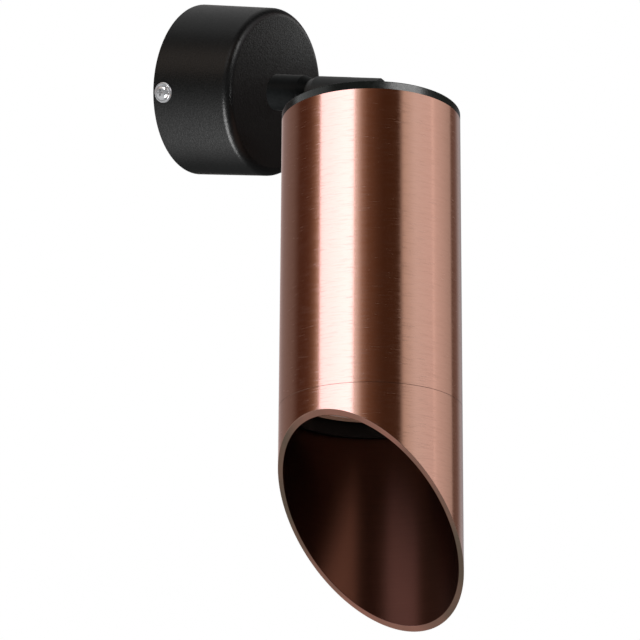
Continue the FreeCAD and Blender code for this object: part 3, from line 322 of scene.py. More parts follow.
# Painted reflection on the cut, broken up by a soft noise of stains.
painted_reflection_and_stains = reckon("ADD", reckon("MULTIPLY", painted_reflection_shape, 0.55), reckon("MULTIPLY", stains, 0.8))
vary_colour(cut_metal, painted_reflection_and_stains, (0.68, 0.325, 0.245), (0.275, 0.203, 0.150), -0.1, 0.9)
vary_roughness(cut_metal, scratches, 0.32, 0.46)
raise_bump(cut_metal, scratches, 0.000004)
print("cut edge, stains turned", round(math.degrees(reflection_turn), 1), "degrees")

# %% [markdown]
# ## Powder coat
#
# The rose is powder coated, which leaves a fine pebbled skin. On black, nearly everything that is
# seen is reflection, so the grain of the bump and the roughness matter more than the colour.

# %% Powder coat
pebble = 0.0006
powder = new_finish("black_powder_coat", (0.0020, 0.0022, 0.0022), 0.34)
pebbles = noise_on(powder, pattern_at(powder, pebble))
clouds = noise_on(powder, pattern_at(powder, 0.012))
vary_colour(powder, clouds, (0.0023, 0.0025, 0.0025), (0.0017, 0.0019, 0.0019))
vary_roughness(powder, pebbles, 0.28, 0.40)
raise_bump(powder, pebbles, 0.00006, 0.9)
finishes["black_powder_coat"] = powder
print("powder coat with pebbles of", pebble, "metres")

# %% [markdown]
# ## Satin black
#
# The arm, its neck and the cap have a smoother satin paint. The same recipe makes all three, and
# a small table gives what differs: the colour, the roughness and how strongly the paint shines.
# The neck's much paler colour is painted light, for the light that falls on it.

# %% Satin black
for slot, colour, rough, shine in (
        ("black_satin_arm", (0.0022, 0.0026, 0.0028), 0.40, 0.12),
        # Painted light: this paler black stands for the light on the neck and the tongue.
        ("black_satin_neck", (0.0200, 0.0205, 0.0205), 0.38, 0.30),
        ("black_satin_cap", (0.0016, 0.0019, 0.0017), 0.27, 0.06)):
    satin = new_finish(slot, colour, rough, Specular_IOR_Level=shine)
    skin = noise_on(satin, pattern_at(satin, 0.0009))
    vary_colour(satin, skin, [1.15 * part for part in colour], [0.85 * part for part in colour])
    vary_roughness(satin, skin, rough - 0.04, rough + 0.05)
    raise_bump(satin, skin, 0.000004, 0.5)
    finishes[slot] = satin
print("black finishes", [name for name in finishes if name.startswith("black")])

# %% [markdown]
# ## Steel, brass and chrome
#
# The screws in the rose's sides are chromed. Everything inside is zinc plated steel, black oxide
# steel, nickel or brass. A plated part is never even: a soft blotch moves its roughness, and a
# grain nine times finer roughens its skin.

# %% Plated metals
def plated(slot, colour, rough, grain, spread=0.12, metallic=1.0):
    """A metal finish with soft blotches and a fine grain."""
    material = new_finish(slot, colour, rough, Metallic=metallic)
    blotches = noise_on(material, pattern_at(material, grain), 3.0)
    fine = noise_on(material, pattern_at(material, grain / 9))
    vary_colour(material, blotches, [min(1, (1 + spread) * part) for part in colour],
                [(1 - spread) * part for part in colour])
    vary_roughness(material, blotches, 0.75 * rough, 1.3 * rough)
    raise_bump(material, fine, 0.000004, 0.5)
    finishes[slot] = material


plated("chrome_screw", (0.80, 0.81, 0.83), 0.09, 0.0020, 0.03, 0.8)
plated("zinc_steel", (0.62, 0.63, 0.65), 0.30, 0.0025)
plated("black_oxide_steel", (0.05, 0.05, 0.055), 0.34, 0.0020)
plated("pin_nickel", (0.75, 0.74, 0.70), 0.22, 0.0020, 0.05)
plated("terminal_brass", (0.74, 0.58, 0.30), 0.26, 0.0020, 0.08)
print("finishes", len(finishes))

# %% [markdown]
# ## Rubber, plastics, ceramic and the lens
#
# The soft and moulded parts are matt. Rubber has a dusty bloom, moulded plastic a faint eroded
# texture from its mould, unglazed ceramic a chalky grain with small specks. The lens is frosted:
# a white diffuser under a smooth skin, but its colour is a warm tan, a painted reflection of
# the copper that stands round it.

# %% Moulded parts
def moulded(slot, colour, rough, grain, depth, **values):
    """A non-metal finish with a fine grain."""
    material = new_finish(slot, colour, rough, **values)
    specks = noise_on(material, pattern_at(material, grain), 3.0)
    vary_colour(material, specks, [min(1, 1.05 * part) for part in colour],
                [0.93 * part for part in colour])
    vary_roughness(material, specks, rough - 0.06, rough + 0.06)
    raise_bump(material, specks, depth, 0.6)
    finishes[slot] = material


moulded("black_rubber", (0.022, 0.022, 0.022), 0.75, 0.0006, 0.00002)
moulded("white_polyamide", (0.80, 0.80, 0.76), 0.48, 0.0005, 0.00001)
moulded("natural_nylon", (0.70, 0.68, 0.60), 0.42, 0.0006, 0.00001)
moulded("black_nylon", (0.010, 0.010, 0.010), 0.45, 0.0006, 0.00001)
moulded("white_steatite", (0.83, 0.82, 0.78), 0.62, 0.0004, 0.00002)
moulded("white_lamp_body", (0.82, 0.81, 0.79), 0.34, 0.0008, 0.00001)
# Painted reflection: the lens's tan colour stands for the copper round it; the diffuser itself is white.
moulded("frosted_lens", (0.66, 0.47, 0.40), 0.38, 0.0003, 0.00001, Coat_Weight=0.3)
print("finishes", len(finishes))

# %% [markdown]
# ## Front ring of the lamp
#
# The white lamp inside the tube shows only the front ring of its body, which is glossy and
# mirrors the copper round it. The model's mesh stays as it is, so the ring can't get faces with a
# finish of their own. Instead a comparison of the height up the tube picks it out, and a mix paints
# the colour of that reflection onto it as a painted reflection, while the rest of the body stays white.

# %% Tinted front ring
ring_end = -0.1045
mirrored_copper = (0.46, 0.25, 0.175, 1)
lamp_body = finishes["white_lamp_body"]
tree = lamp_body.node_tree
body_colour = shader_of(lamp_body)["Base Color"]
height = step(tree, "ShaderNodeSeparateXYZ", _0=pattern_at(lamp_body, 1.0, ON_HEAD)).outputs["Z"]
# Painted reflection: below this height the lamp body takes the colour of the copper it mirrors.
painted_reflection_mix = step(tree, "ShaderNodeMix", {"data_type": "RGBA"},
                Factor=maths(tree, "LESS_THAN", height, ring_end),
                A=body_colour.links[0].from_socket, B=mirrored_copper)
tree.links.new(painted_reflection_mix.outputs["Result"], body_colour)
print("ring tinted below", ring_end, "metres on the head")

# %% [markdown]
# ## The working model's own pieces
#
# Most inner pieces already have their true shape in the working model. They keep it, and take
# the finish that the record names for them. The neck and the tongue of the joint face the light
# and take the paler black, which paints that light into their colour.

# %% Dress the model's nodes
for part in frame["record"]["subparts"]:
    # The neck and the tongue get the paler black as painted light.
    lit_knuckle = part["node"] in ("arm_neck", "pivot_tongue")
    node_mesh = nodes[part["node"]].data
    node_mesh.materials.clear()
    node_mesh.materials.append(finishes["black_satin_neck" if lit_knuckle else part["material_slot"]])

# %% [markdown]
# ## Helpers for pieces
#
# A finished piece is a plain mesh at the origin. These helpers turn the result of a modifier or a
# Geometry Nodes tree into such a mesh, put it in place, and shade it smooth up to a sharp angle.

# %% Helpers for pieces
def show(name, mesh, materials=()):
    """A new object in the scene from a mesh."""
    piece = bpy.data.objects.new(name, mesh)
    bpy.context.scene.collection.objects.link(piece)
    for material in materials:
        mesh.materials.append(material)
    return piece


def made_plain(piece):
    """The piece with its modifiers turned into a plain mesh."""
    bpy.context.view_layer.update()
    seen = piece.evaluated_get(bpy.context.evaluated_depsgraph_get())
    mesh = bpy.data.meshes.new_from_object(seen)
    piece.modifiers.clear()
    piece.data = mesh
    mesh.name = piece.name
    return piece


def put_in_place(piece, place, sharp):
    """Moves the mesh, closes it, turns its faces outward, smooths it up to an angle in degrees."""
    piece.data.transform(place)
    work = bmesh.new()
    work.from_mesh(piece.data)
    bmesh.ops.remove_doubles(work, verts=work.verts, dist=1e-7)
    bmesh.ops.recalc_face_normals(work, faces=work.faces)
    work.to_mesh(piece.data)
    work.free()
    piece.data.shade_smooth()
    piece.data.set_sharp_from_angle(angle=math.radians(sharp))


print("piece helpers ready")

# %% [markdown]
# ## Clean highlights
#
# Two more helpers serve the highlights. Beside a small rounding, smooth shading bends the light
# on a flat stretch too, unless the wide faces rule it, which a Weighted Normal modifier does. And
# a brushed piece needs a UV map whose first direction follows the tube, for its stretched gloss.

# %% Helpers for highlights
def even_gloss(piece):
    """Lets wide faces rule the smoothing, so that flat stretches stay flat beside roundings."""
    modifier = piece.modifiers.new("even", "WEIGHTED_NORMAL")
    modifier.keep_sharp = True
    modifier.weight = 100
    made_plain(piece)


def wrap_uv(piece, place):
    """UV map: along the frame's z first, then round it, with no face across the map's ends."""
    map_length, map_start = 0.2, 0.9
    back = place.inverted()
    layer = piece.data.uv_layers.new(name="brush")
    for face in piece.data.polygons:
        turns = []
        for index in face.loop_indices:
            point = back @ piece.data.vertices[piece.data.loops[index].vertex_index].co
            turns.append((index, math.atan2(point.y, point.x) / math.tau, point.z))
        first = turns[0][1]
        for index, turn, height in turns:
            turn += 1 if turn - first < -0.5 else -1 if turn - first > 0.5 else 0
            layer.data[index].uv = (height / map_length + map_start, turn + 0.5)


print("highlight helpers ready")

# %% [markdown]
# ## How a Geometry Nodes tree is built
#
# A tree is a recipe with named inputs for its sizes. It starts with those inputs, reads and
# writes the places of points, and ends in Realize Instances and Set Material. A modifier runs it
# on an empty mesh, and its result is kept as a plain mesh.

# %% Helpers for Geometry Nodes
def new_tree(name, inputs):
    """An empty geometry tree, its named inputs and its end."""
    tree = bpy.data.node_groups.new(name, "GeometryNodeTree")
    tree.interface.new_socket("Geometry", in_out="OUTPUT", socket_type="NodeSocketGeometry")
    for title, kind in inputs:
        tree.interface.new_socket(title, in_out="INPUT", socket_type="NodeSocket" + kind)
    return tree, tree.nodes.new("NodeGroupInput").outputs, tree.nodes.new("NodeGroupOutput")


def position_in(tree):
    """X, Y and Z of each point."""
    place = step(tree, "GeometryNodeInputPosition").outputs["Position"]
    return step(tree, "ShaderNodeSeparateXYZ", _0=place).outputs


def vector_in(tree, **parts):
    """A vector from its X, Y and Z."""
    return step(tree, "ShaderNodeCombineXYZ", **parts).outputs["Vector"]


def end_tree(tree, geometry, finish, result):
    """Makes all instances real, gives them a finish and ends the tree."""
    plain = step(tree, "GeometryNodeRealizeInstances", Geometry=geometry)
    dressed = step(tree, "GeometryNodeSetMaterial", Geometry=plain.outputs["Geometry"],
                   Material=finish)
    tree.links.new(dressed.outputs["Geometry"], result.inputs["Geometry"])
    print("tree", tree.name, len(tree.nodes), "nodes")


def grow(name, tree, **values):
    """A piece made by a tree, with its named inputs given."""
    piece = show(name, bpy.data.meshes.new(name))
    modifier = piece.modifiers.new("shape", "NODES")
    modifier.node_group = tree
    for item in tree.interface.items_tree:
        title = item.name.replace(" ", "_")
        if item.in_out == "INPUT" and title in values:
            modifier[item.identifier] = values[title]
    return made_plain(piece)


print("tree helpers ready")

# %% [markdown]
# ## The cut tube: one rule for three pieces
#
# The tube, the shade and the shade's dark lining are the same piece of stock, once cut square and
# twice cut at a slant. Geometry Nodes hold that rule: a small rectangle, as wide as the wall is
# thick and with its corners just broken, is swept round a circle. It is a short blank at first.

# %% Geometry Nodes tree of the cut tube: the blank
cut_tube, given, result = new_tree("cut tube", [
    ("Radius", "Float"), ("Wall", "Float"), ("Short side", "Float"), ("Long side", "Float"),
    ("Broken edge", "Float"), ("Sides", "Int"), ("Finish", "Material")])
reckon = sums_in(cut_tube)
blank_length = 0.001
half_wall = reckon("MULTIPLY", given["Wall"], 0.5)
path = step(cut_tube, "GeometryNodeCurvePrimitiveCircle", Resolution=given["Sides"],
            Radius=reckon("SUBTRACT", given["Radius"], half_wall))
section = step(cut_tube, "GeometryNodeCurvePrimitiveQuadrilateral", Width=given["Wall"],
               Height=blank_length)
broken = step(cut_tube, "GeometryNodeFilletCurve", {"mode": "POLY"},
              Curve=section.outputs["Curve"], Count=3, Radius=given["Broken edge"])
blank = step(cut_tube, "GeometryNodeCurveToMesh", Curve=path.outputs["Curve"],
             Profile_Curve=broken.outputs["Curve"])
print("blank of", blank_length, "metres")

# %% [markdown]
# ## The cut tube: let down to the slant
#
# The blank's upper half is set to the height of zero. Its lower half is let down, by the short
# side on one side of the tube and by the long side opposite, which is a slanted plane. A Boolean
# could cut the slant too, but it leaves slivers at the rim. Here the walls between are single long
# faces, so the tube is as smooth as can be.

# %% Geometry Nodes tree of the cut tube: the slant
spot = position_in(cut_tube)
across = reckon("DIVIDE", spot["X"], reckon("MULTIPLY", given["Radius"], 2.0))
along_slant = reckon("ADD", 0.5, across)
slant = reckon("SUBTRACT", given["Long side"], given["Short side"])
drop = reckon("ADD", given["Short side"], reckon("MULTIPLY", slant, along_slant))
is_lower = reckon("LESS_THAN", spot["Z"], 0.0)
to_zero = reckon("MULTIPLY", reckon("SUBTRACT", is_lower, 0.5), blank_length)
let_down = reckon("SUBTRACT", to_zero, reckon("MULTIPLY", is_lower, drop))
slanted = step(cut_tube, "GeometryNodeSetPosition", Geometry=blank.outputs["Mesh"],
               Offset=vector_in(cut_tube, Z=let_down))
end_tree(cut_tube, slanted.outputs["Geometry"], given["Finish"], result)

# %% [markdown]
# ## Body tube
#
# The fixed upper tube, cut square at both ends. A turned half section would make it as well, but
# then the shade would need a rule of its own. Its lower end comes a little closer to the shade
# than in the working model, so that the seam is as fine as the real one.

# %% Body tube
seam_taken = 0.0002
tube_length = tube_top - tube_bottom + seam_taken
body_tube = grow("copper_body_tube", cut_tube, Radius=tube_radius, Wall=tube_radius - tube_bore,
                 Short_side=tube_length, Long_side=tube_length, Broken_edge=0.00005, Sides=192,
                 Finish=copper)
put_in_place(body_tube, ON_HEAD @ Matrix.Translation((0, 0, tube_top)), sharp=30)
even_gloss(body_tube)
wrap_uv(body_tube, ON_HEAD)
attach(body_tube, "head")
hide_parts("body_tube")
print("body tube", len(body_tube.data.polygons), "faces")

# %% [markdown]
# ## Slanted shade
#
# The lower tube turns on its ring and is cut off at forty-five degrees, so that its tip hides the
# lamp from one side. Its three surfaces differ: brushed copper outside, dark bronze inside, and
# bare metal on the cut. Each face gets its finish by where it lies.

# %% Slanted shade
extra_wall = 0.0002
shade_place = ON_HEAD @ Matrix.Translation((0, 0, shade_top)) @ Matrix.Rotation(tip_turn, 4, "Z")
slant_shade = grow("copper_slant_shade", cut_tube, Radius=shade_radius,
                   Wall=shade_radius - shade_bore + extra_wall,
                   Short_side=shade_top - shade_short, Long_side=shade_top - shade_tip,
                   Broken_edge=0.00006, Sides=256, Finish=copper)
put_in_place(slant_shade, shade_place, sharp=30)
even_gloss(slant_shade)
wrap_uv(slant_shade, ON_HEAD)
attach(slant_shade, "shade")
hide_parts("slant_shade")
print("shade", len(slant_shade.data.polygons), "faces")

# %% [markdown]
# ## Three surfaces of the shade
#
# A face that isn't upright and lies off the outer wall belongs to an end: the lower end is the
# cut, the upper one is dark like the inside. A face near the bore is the inner wall. All others
# keep the copper.

# %% Finishes of the shade by place
COPPER_FACE, BRONZE_FACE, CUT_FACE = range(3)
near_wall = 0.0003
lies_flat = 0.2
upper_end = -0.002
slant_shade.data.materials.append(bronze)
slant_shade.data.materials.append(cut_metal)
to_shade = shade_place.inverted()
for face in slant_shade.data.polygons:
    middle = to_shade @ face.center
    normal = to_shade.to_3x3() @ face.normal
    if middle.xy.length < shade_radius - near_wall and abs(normal.z) > lies_flat:
        face.material_index = CUT_FACE if middle.z < upper_end else BRONZE_FACE
    elif middle.xy.length < shade_bore + near_wall:
        face.material_index = BRONZE_FACE
given_faces = [face.material_index for face in slant_shade.data.polygons]
print("copper, bronze and cut faces", [given_faces.count(finish) for finish in (
    COPPER_FACE, BRONZE_FACE, CUT_FACE)])

# %% [markdown]
# ## Bronze lining of the shade
#
# The dark finish inside the shade is a coat of its own. Made as a thin lining, it can have a light
# of its own too, which the photographer's card in front of the mouth gives it. The same tree makes
# it, a hair narrower than the bore and with its edge held back from the cut.

# %% Shade lining
hair = 0.00001
coat = 0.0001
lining_radius = shade_bore - extra_wall - hair
lining_top = turned_size("shade_ring", ON_HEAD)[1]
half_length = ((shade_top - shade_short) + (shade_top - shade_tip)) / 2
half_slant = (shade_short - shade_tip) / 2 * lining_radius / shade_radius
held_back = shade_top - lining_top + coat
lining = grow("bronze_shade_lining", cut_tube, Radius=lining_radius, Wall=coat,
              Short_side=half_length - half_slant - held_back,
              Long_side=half_length + half_slant - held_back,
              Broken_edge=hair, Sides=256, Finish=bronze)
put_in_place(lining, shade_place @ Matrix.Translation((0, 0, lining_top - shade_top)), sharp=30)
even_gloss(lining)
wrap_uv(lining, ON_HEAD)
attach(lining, "shade")
print("lining from", lining_top, "radius", lining_radius)

# %% [markdown]
# ## A turned piece from its half section
#
# Round pieces are easiest to draw as half a section, a closed line of radii and heights, that is
# turned about its axis. Blender's Spin tool would do it too. Written out, the ring of corners
# closes on itself with no seam to merge.

# %% Helpers for turned pieces
def arc_points(middle, radius, start, end, count):
    """Points on an arc in the half section, from one angle to another in degrees."""
    turns = [math.radians(start + (end - start) * index / count) for index in range(count + 1)]
    return [(middle[0] + radius * math.cos(turn), middle[1] + radius * math.sin(turn))
            for turn in turns]


def turned_mesh(name, section, sides):
    """Closed half section, turned about z."""
    work = bmesh.new()
    rings = []
    for index in range(sides):
        angle = math.tau * index / sides
        rings.append([work.verts.new((radius * math.cos(angle), radius * math.sin(angle), height))
                      for radius, height in section])
    for index in range(sides):
        here, there = rings[index], rings[(index + 1) % sides]
        for row in range(len(section)):
            after = (row + 1) % len(section)
            work.faces.new((here[row], there[row], there[after], here[after]))
    mesh = bpy.data.meshes.new(name)
    work.to_mesh(mesh)
    work.free()
    return mesh


print("turning helpers ready")

# %% [markdown]
# ## Rose
#
# The rose is a cup drawn from sheet: a slightly tapered side, a generous rounding and a flat
# front with a hole for the arm. The rounding is drawn as a fine arc in the half section, so that
# the painted edge catches the light in one clean line. Its radius is wider than the working
# model's, as the photograph shows it, while the taper of the side is the model's own.

# %% Rose
sheet = 0.0012
edge_rounding = 0.0030
model_rounding = 0.0020
rose_radius, rose_back, rose_front = turned_size("rose_cover", ON_WALL)
front_corners = [corner for corner in corners_in("rose_cover", ON_WALL)
                 if corner.z > rose_front - slack]
flat_radius = max(corner.xy.length for corner in front_corners)
centre_hole = min(corner.xy.length for corner in front_corners)
taper = (rose_radius - flat_radius - model_rounding) / (rose_front - model_rounding)
side_end = rose_radius - taper * (rose_front - edge_rounding)
arc_middle = (side_end - edge_rounding, rose_front - edge_rounding)
outer = [(rose_radius, 0.0)] + arc_points(arc_middle, edge_rounding, 0, 90, 12)
rim = [(centre_hole, rose_front), (centre_hole, rose_front - sheet)]
inner = arc_points(arc_middle, edge_rounding - sheet, 90, 0, 6) + [(rose_radius - sheet, 0.0)]
rose = show("powder_coated_rose", turned_mesh("rose", outer + rim + inner, 256), [powder])
put_in_place(rose, ON_WALL, sharp=30)
even_gloss(rose)
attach(rose, "root")
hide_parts("rose_cover")
print("rose", rose_radius, flat_radius, centre_hole, "taper", taper)

# %% [markdown]
# ## Cover screws: the domed head
#
# Two bright pan-head screws hold the rose to its plate, one on each side. A screw is a thing that
# repeats, so Geometry Nodes make one and set it on both points. The head starts as a flat disc of
# fine rings. A float curve, which is the head's half section, lifts each ring to its height: a
# thin flange outside, a small step, and a dome.

# %% Geometry Nodes tree of the cross-head screw: the head
HEAD_SECTION = ((0.0, 1.0), (0.25, 0.985), (0.50, 0.90), (0.68, 0.72), (0.80, 0.46),
                (0.845, 0.30), (0.88, 0.30), (0.95, 0.27), (0.985, 0.20), (1.0, 0.10))
cross_screw, given, result = new_tree("cross-head screw", [
    ("Head radius", "Float"), ("Head height", "Float"), ("Shank radius", "Float"),
    ("Shank length", "Float"), ("Slot length", "Float"), ("Slot width", "Float"),
    ("Slot depth", "Float"), ("Reach", "Float"), ("Distance", "Float"), ("Finish", "Material")])
reckon = sums_in(cross_screw)
disc = step(cross_screw, "GeometryNodeMeshCylinder", Vertices=64, Side_Segments=1,
            Fill_Segments=28, Radius=1.0, Depth=1.0)
spot = position_in(cross_screw)
from_middle = reckon("SQRT", reckon("ADD", reckon("MULTIPLY", spot["X"], spot["X"]),
                                    reckon("MULTIPLY", spot["Y"], spot["Y"])))
half_section = step(cross_screw, "ShaderNodeFloatCurve", Value=from_middle)
bends = half_section.mapping.curves[0].points
bends[0].location, bends[1].location = HEAD_SECTION[0], HEAD_SECTION[-1]
for at, height in HEAD_SECTION[1:-1]:
    bends.new(at, height)
half_section.mapping.update()
lifted = reckon("MULTIPLY", reckon("GREATER_THAN", spot["Z"], 0.0), half_section.outputs["Value"])
head = step(cross_screw, "GeometryNodeSetPosition", Geometry=disc.outputs["Mesh"],
            Position=vector_in(cross_screw, X=reckon("MULTIPLY", spot["X"], given["Head radius"]),
                               Y=reckon("MULTIPLY", spot["Y"], given["Head radius"]),
                               Z=reckon("MULTIPLY", lifted, given["Head height"])))
print("head section with", len(bends), "points")

# %% [markdown]
# ## Cover screws: the driver's cross
#
# A driver for a cross-head has four wings that narrow towards their point. So two crossed wedges,
# each a block with a smaller bottom, are cut out of the head. A Mesh Boolean node does the
# cutting, since a disc of rings has no edge where the slots run.

# %% Geometry Nodes tree of the cross-head screw: the cross
narrowing = 0.55


def wedge(length, width):
    """One arm of the driver's cross, narrower at its bottom."""
    depth = reckon("MULTIPLY", given["Slot depth"], 2.0)
    block = step(cross_screw, "GeometryNodeMeshCube",
                 Size=vector_in(cross_screw, X=length, Y=width, Z=depth))
    place = position_in(cross_screw)
    is_low = reckon("LESS_THAN", place["Z"], 0.0)
    shrink = reckon("SUBTRACT", 1.0, reckon("MULTIPLY", is_low, narrowing))
    slim = vector_in(cross_screw, X=reckon("MULTIPLY", place["X"], shrink),
                     Y=reckon("MULTIPLY", place["Y"], shrink),
                     Z=reckon("ADD", place["Z"], given["Head height"]))
    return step(cross_screw, "GeometryNodeSetPosition", Geometry=block.outputs["Mesh"],
                Position=slim).outputs["Geometry"]


cut = step(cross_screw, "GeometryNodeMeshBoolean", {"operation": "DIFFERENCE"},
           _0=head.outputs["Geometry"])
for arm in (wedge(given["Slot length"], given["Slot width"]),
            wedge(given["Slot width"], given["Slot length"])):
    cross_screw.links.new(arm, cut.inputs["Mesh 2"])
print("cross cut with two wedges")

# %% [markdown]
# ## Cover screws: the shank and both places
#
# A plain shank joins the head. The whole screw is then set on the two ends of a line through the
# rose, and each copy is turned so that it points outward. A Mirror modifier would make the second
# screw as well, but on points more screws would need only more points.

# %% Geometry Nodes tree of the cross-head screw: the pair
shank = step(cross_screw, "GeometryNodeMeshCylinder", Vertices=32, Radius=given["Shank radius"],
             Depth=given["Shank length"])
just_in_head = -0.499
sunk = vector_in(cross_screw, Z=reckon("MULTIPLY", given["Shank length"], just_in_head))
shank_in = step(cross_screw, "GeometryNodeTransform", Geometry=shank.outputs["Mesh"],
                Translation=sunk)
whole = step(cross_screw, "GeometryNodeJoinGeometry")
cross_screw.links.new(shank_in.outputs["Geometry"], whole.inputs["Geometry"])
cross_screw.links.new(cut.outputs["Mesh"], whole.inputs["Geometry"])
left_end = vector_in(cross_screw, X=reckon("MULTIPLY", given["Reach"], -1.0), Z=given["Distance"])
line = step(cross_screw, "GeometryNodeMeshLine", Count=2, Start_Location=left_end,
            Offset=vector_in(cross_screw, X=reckon("MULTIPLY", given["Reach"], 2.0)))
outward = step(cross_screw, "FunctionNodeAlignRotationToVector", {"axis": "Z"},
               Vector=vector_in(cross_screw, X=position_in(cross_screw)["X"]))
both = step(cross_screw, "GeometryNodeInstanceOnPoints", Points=line.outputs["Mesh"],
            Instance=whole.outputs["Geometry"], Rotation=outward.outputs["Rotation"])
end_tree(cross_screw, both.outputs["Instances"], given["Finish"], result)

# %% [markdown]
# ## Cover screws
#
# The tree gets the head's size from the working model. The seat is where the head meets the side
# of the rose, and the distance is how far the screws stand from the wall.

# %% Cover screws
screw_corners = corners_in("cover_screws", ON_WALL)
screw_tip = max(corner.x for corner in screw_corners)
screw_head = max(abs(corner.y) for corner in screw_corners)
screw_seat = 0.02965
cover_screws = grow("chrome_cover_screws", cross_screw, Head_radius=screw_head,
                    Head_height=screw_tip - screw_seat, Shank_radius=0.00195, Shank_length=0.006,
                    Slot_length=0.0036, Slot_width=0.0009, Slot_depth=0.0013, Reach=screw_seat,
                    Distance=0.0043, Finish=finishes["chrome_screw"])
put_in_place(cover_screws, ON_WALL, sharp=25)
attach(cover_screws, "root")
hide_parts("cover_screws")
print("cover screws", screw_head, screw_tip, len(cover_screws.data.polygons), "faces")

# %% [markdown]
# ## Floor
#
# The lamp hangs in a white studio, over a plain pale floor well below it. A single round sheet is
# enough. It is kept out of mirror images, where its far edge would draw a line on the copper.

# %% Floor
floor_height = -1.2
floor_mesh = bpy.data.meshes.new("pale_floor")
draft = bmesh.new()
bmesh.ops.create_circle(draft, cap_ends=True, segments=96, radius=6.0)
draft.to_mesh(floor_mesh)
draft.free()
floor_mesh.transform(Matrix.Translation((0, 0, floor_height)))
floor_finish = new_finish("pale_floor", (1.0, 1.0, 1.0), 0.8, Specular_IOR_Level=0.0)
floor = show("pale_floor", floor_mesh, [floor_finish])
floor.visible_glossy = False
print("floor at", floor_height)

# %% [markdown]
# ## Directions round the tube
#
# A photographer sets lights round a metal tube by how far each stands to the left or right of the
# camera. So directions are given the same way: a turn round the tube from the camera, and a rise
# along the tube.

# %% Directions round the tube
camera_spot = Vector((-0.868498, -0.622486, 0.043189))
tube_middle = ON_HEAD @ Vector((0, 0, (tube_top + shade_tip) / 2))
to_camera = (camera_spot - tube_middle).normalized()
front = (to_camera - to_camera.dot(tube_axis) * tube_axis).normalized()
right = tube_axis.cross(front)


def towards(turn, rise):
    """Direction at a turn in degrees round the tube from the camera, and a rise along it."""
    angle = math.radians(turn)
    level = math.sqrt(1 - rise * rise)
    return rise * tube_axis + level * (math.cos(angle) * front + math.sin(angle) * right)


def facing(x, y, z):
    """A direction of length one."""
    return Vector((x, y, z)).normalized()


print("front", tuple(round(value, 3) for value in front))

# %% [markdown]
# ## The room that polished metal mirrors
#
# Matt surfaces see an even soft white. Polished ones see the studio's boxes, long strips that
# stand along the tube, as a photographer sets them to draw bands on it: a bright window strip at
# its left, dark cloth in front, a softer wall at its right, and a dim back of the room. The table
# gives the light of the room at each turn from the camera, in degrees, and a Color Ramp draws it
# round the tube. The world isn't sampled as a lamp, since only mirrored rays see the strips.
#
# About half of these stops are colours read from the photograph across the tube and divided by
# the copper's own colour, and the others were changed from such colours. That fits one
# view of one picture. Plain boxes, placed by eye, are the better way, and should replace it.

# %% Light of the room by direction
ROOM = [
    (-180, (0.80, 0.76, 0.74)), (-163, (0.42, 0.36, 0.36)), (-150, (0.28, 0.24, 0.24)),
    (-116, (0.17, 0.13, 0.12)), (-103, (0.080, 0.036, 0.022)), (-94, (0.080, 0.036, 0.022)),
    (-84, (0.105, 0.050, 0.029)), (-76, (0.21, 0.125, 0.076)), (-70, (0.46, 0.345, 0.262)),
    (-26, (0.84, 0.80, 0.79)), (-18.4, (0.84, 0.80, 0.80)), (-11.6, (0.34, 0.24, 0.19)),
    (-4, (0.158, 0.087, 0.054)), (8, (0.085, 0.042, 0.023)), (16, (0.060, 0.027, 0.0135)),
    (36.5, (0.058, 0.027, 0.013)), (41.8, (0.58, 0.52, 0.48)), (58, (0.76, 0.74, 0.76)),
    (82, (0.75, 0.69, 0.71)), (90, (0.38, 0.33, 0.34)), (118, (0.135, 0.10, 0.085)),
    (127, (0.14, 0.095, 0.078)), (138, (0.17, 0.12, 0.105)), (150, (0.38, 0.39, 0.42)),
    (180, (0.30, 0.31, 0.33))]
world = bpy.data.worlds.new("studio")
bpy.context.scene.world = world
world.use_nodes = True
world.cycles.sampling_method = "NONE"
sky = world.node_tree
direction = step(sky, "ShaderNodeTexCoord").outputs["Generated"]


def along(axis):
    """How far the seen direction points along an axis."""
    return step(sky, "ShaderNodeVectorMath", {"operation": "DOT_PRODUCT"}, _0=direction,
                _1=axis).outputs["Value"]


turn = maths(sky, "ARCTAN2", along(right), along(front))
ramp = step(sky, "ShaderNodeValToRGB",
            Fac=maths(sky, "ADD", maths(sky, "DIVIDE", turn, math.tau), 0.5))
stops = ramp.color_ramp.elements
stops.remove(stops[1])
for index, (angle, light) in enumerate(ROOM):
    stop = stops[0] if index == 0 else stops.new(angle / 360 + 0.5)
    stop.position = angle / 360 + 0.5
    stop.color = (*light, 1)
print("room", len(ROOM), "edges")

# %% [markdown]
# ## Where the room's strips end
#
# The strips are as tall as a studio box and no taller. Above and below them the room is dim, with
# one paler patch low at the left and one high at the back, which give the screws and the black
# edges something to mirror.

# %% Patches of light
def fade(value, start, end):
    """Smooth rise from none to all between two values."""
    return step(sky, "ShaderNodeMapRange", {"interpolation_type": "SMOOTHSTEP"}, Value=value,
                From_Min=start, From_Max=end).outputs["Result"]


def patch(light_before, where, light):
    """The room with another light mixed in where a value says so."""
    return step(sky, "ShaderNodeMix", {"data_type": "RGBA"}, Factor=where, A=light_before,
                B=light).outputs["Result"]


DIM = (0.05, 0.05, 0.05, 1)
PALE = (0.38, 0.38, 0.38, 1)
strip_feet = (0.13, 0.21)
strip_tops = (0.72, 0.50)
level = along(tube_axis)
beside_tube = maths(sky, "MULTIPLY", fade(level, *strip_feet), fade(level, *strip_tops))
room_light = patch(DIM, beside_tube, ramp.outputs["Color"])
for patch_direction, start, end in ((facing(-0.538, 0.480, -0.695), 0.55, 0.95),
                                    (facing(0.42, 0.55, 0.72), 0.72, 0.95)):
    room_light = patch(room_light, fade(along(patch_direction), start, end), PALE)
print("room with two patches")

# %% [markdown]
# ## White for all other rays
#
# Only mirrored rays see the strips. A Light Path node sorts the rays: the camera sees a plain
# white background, matt surfaces get an even soft white, and glossy ones get the room.

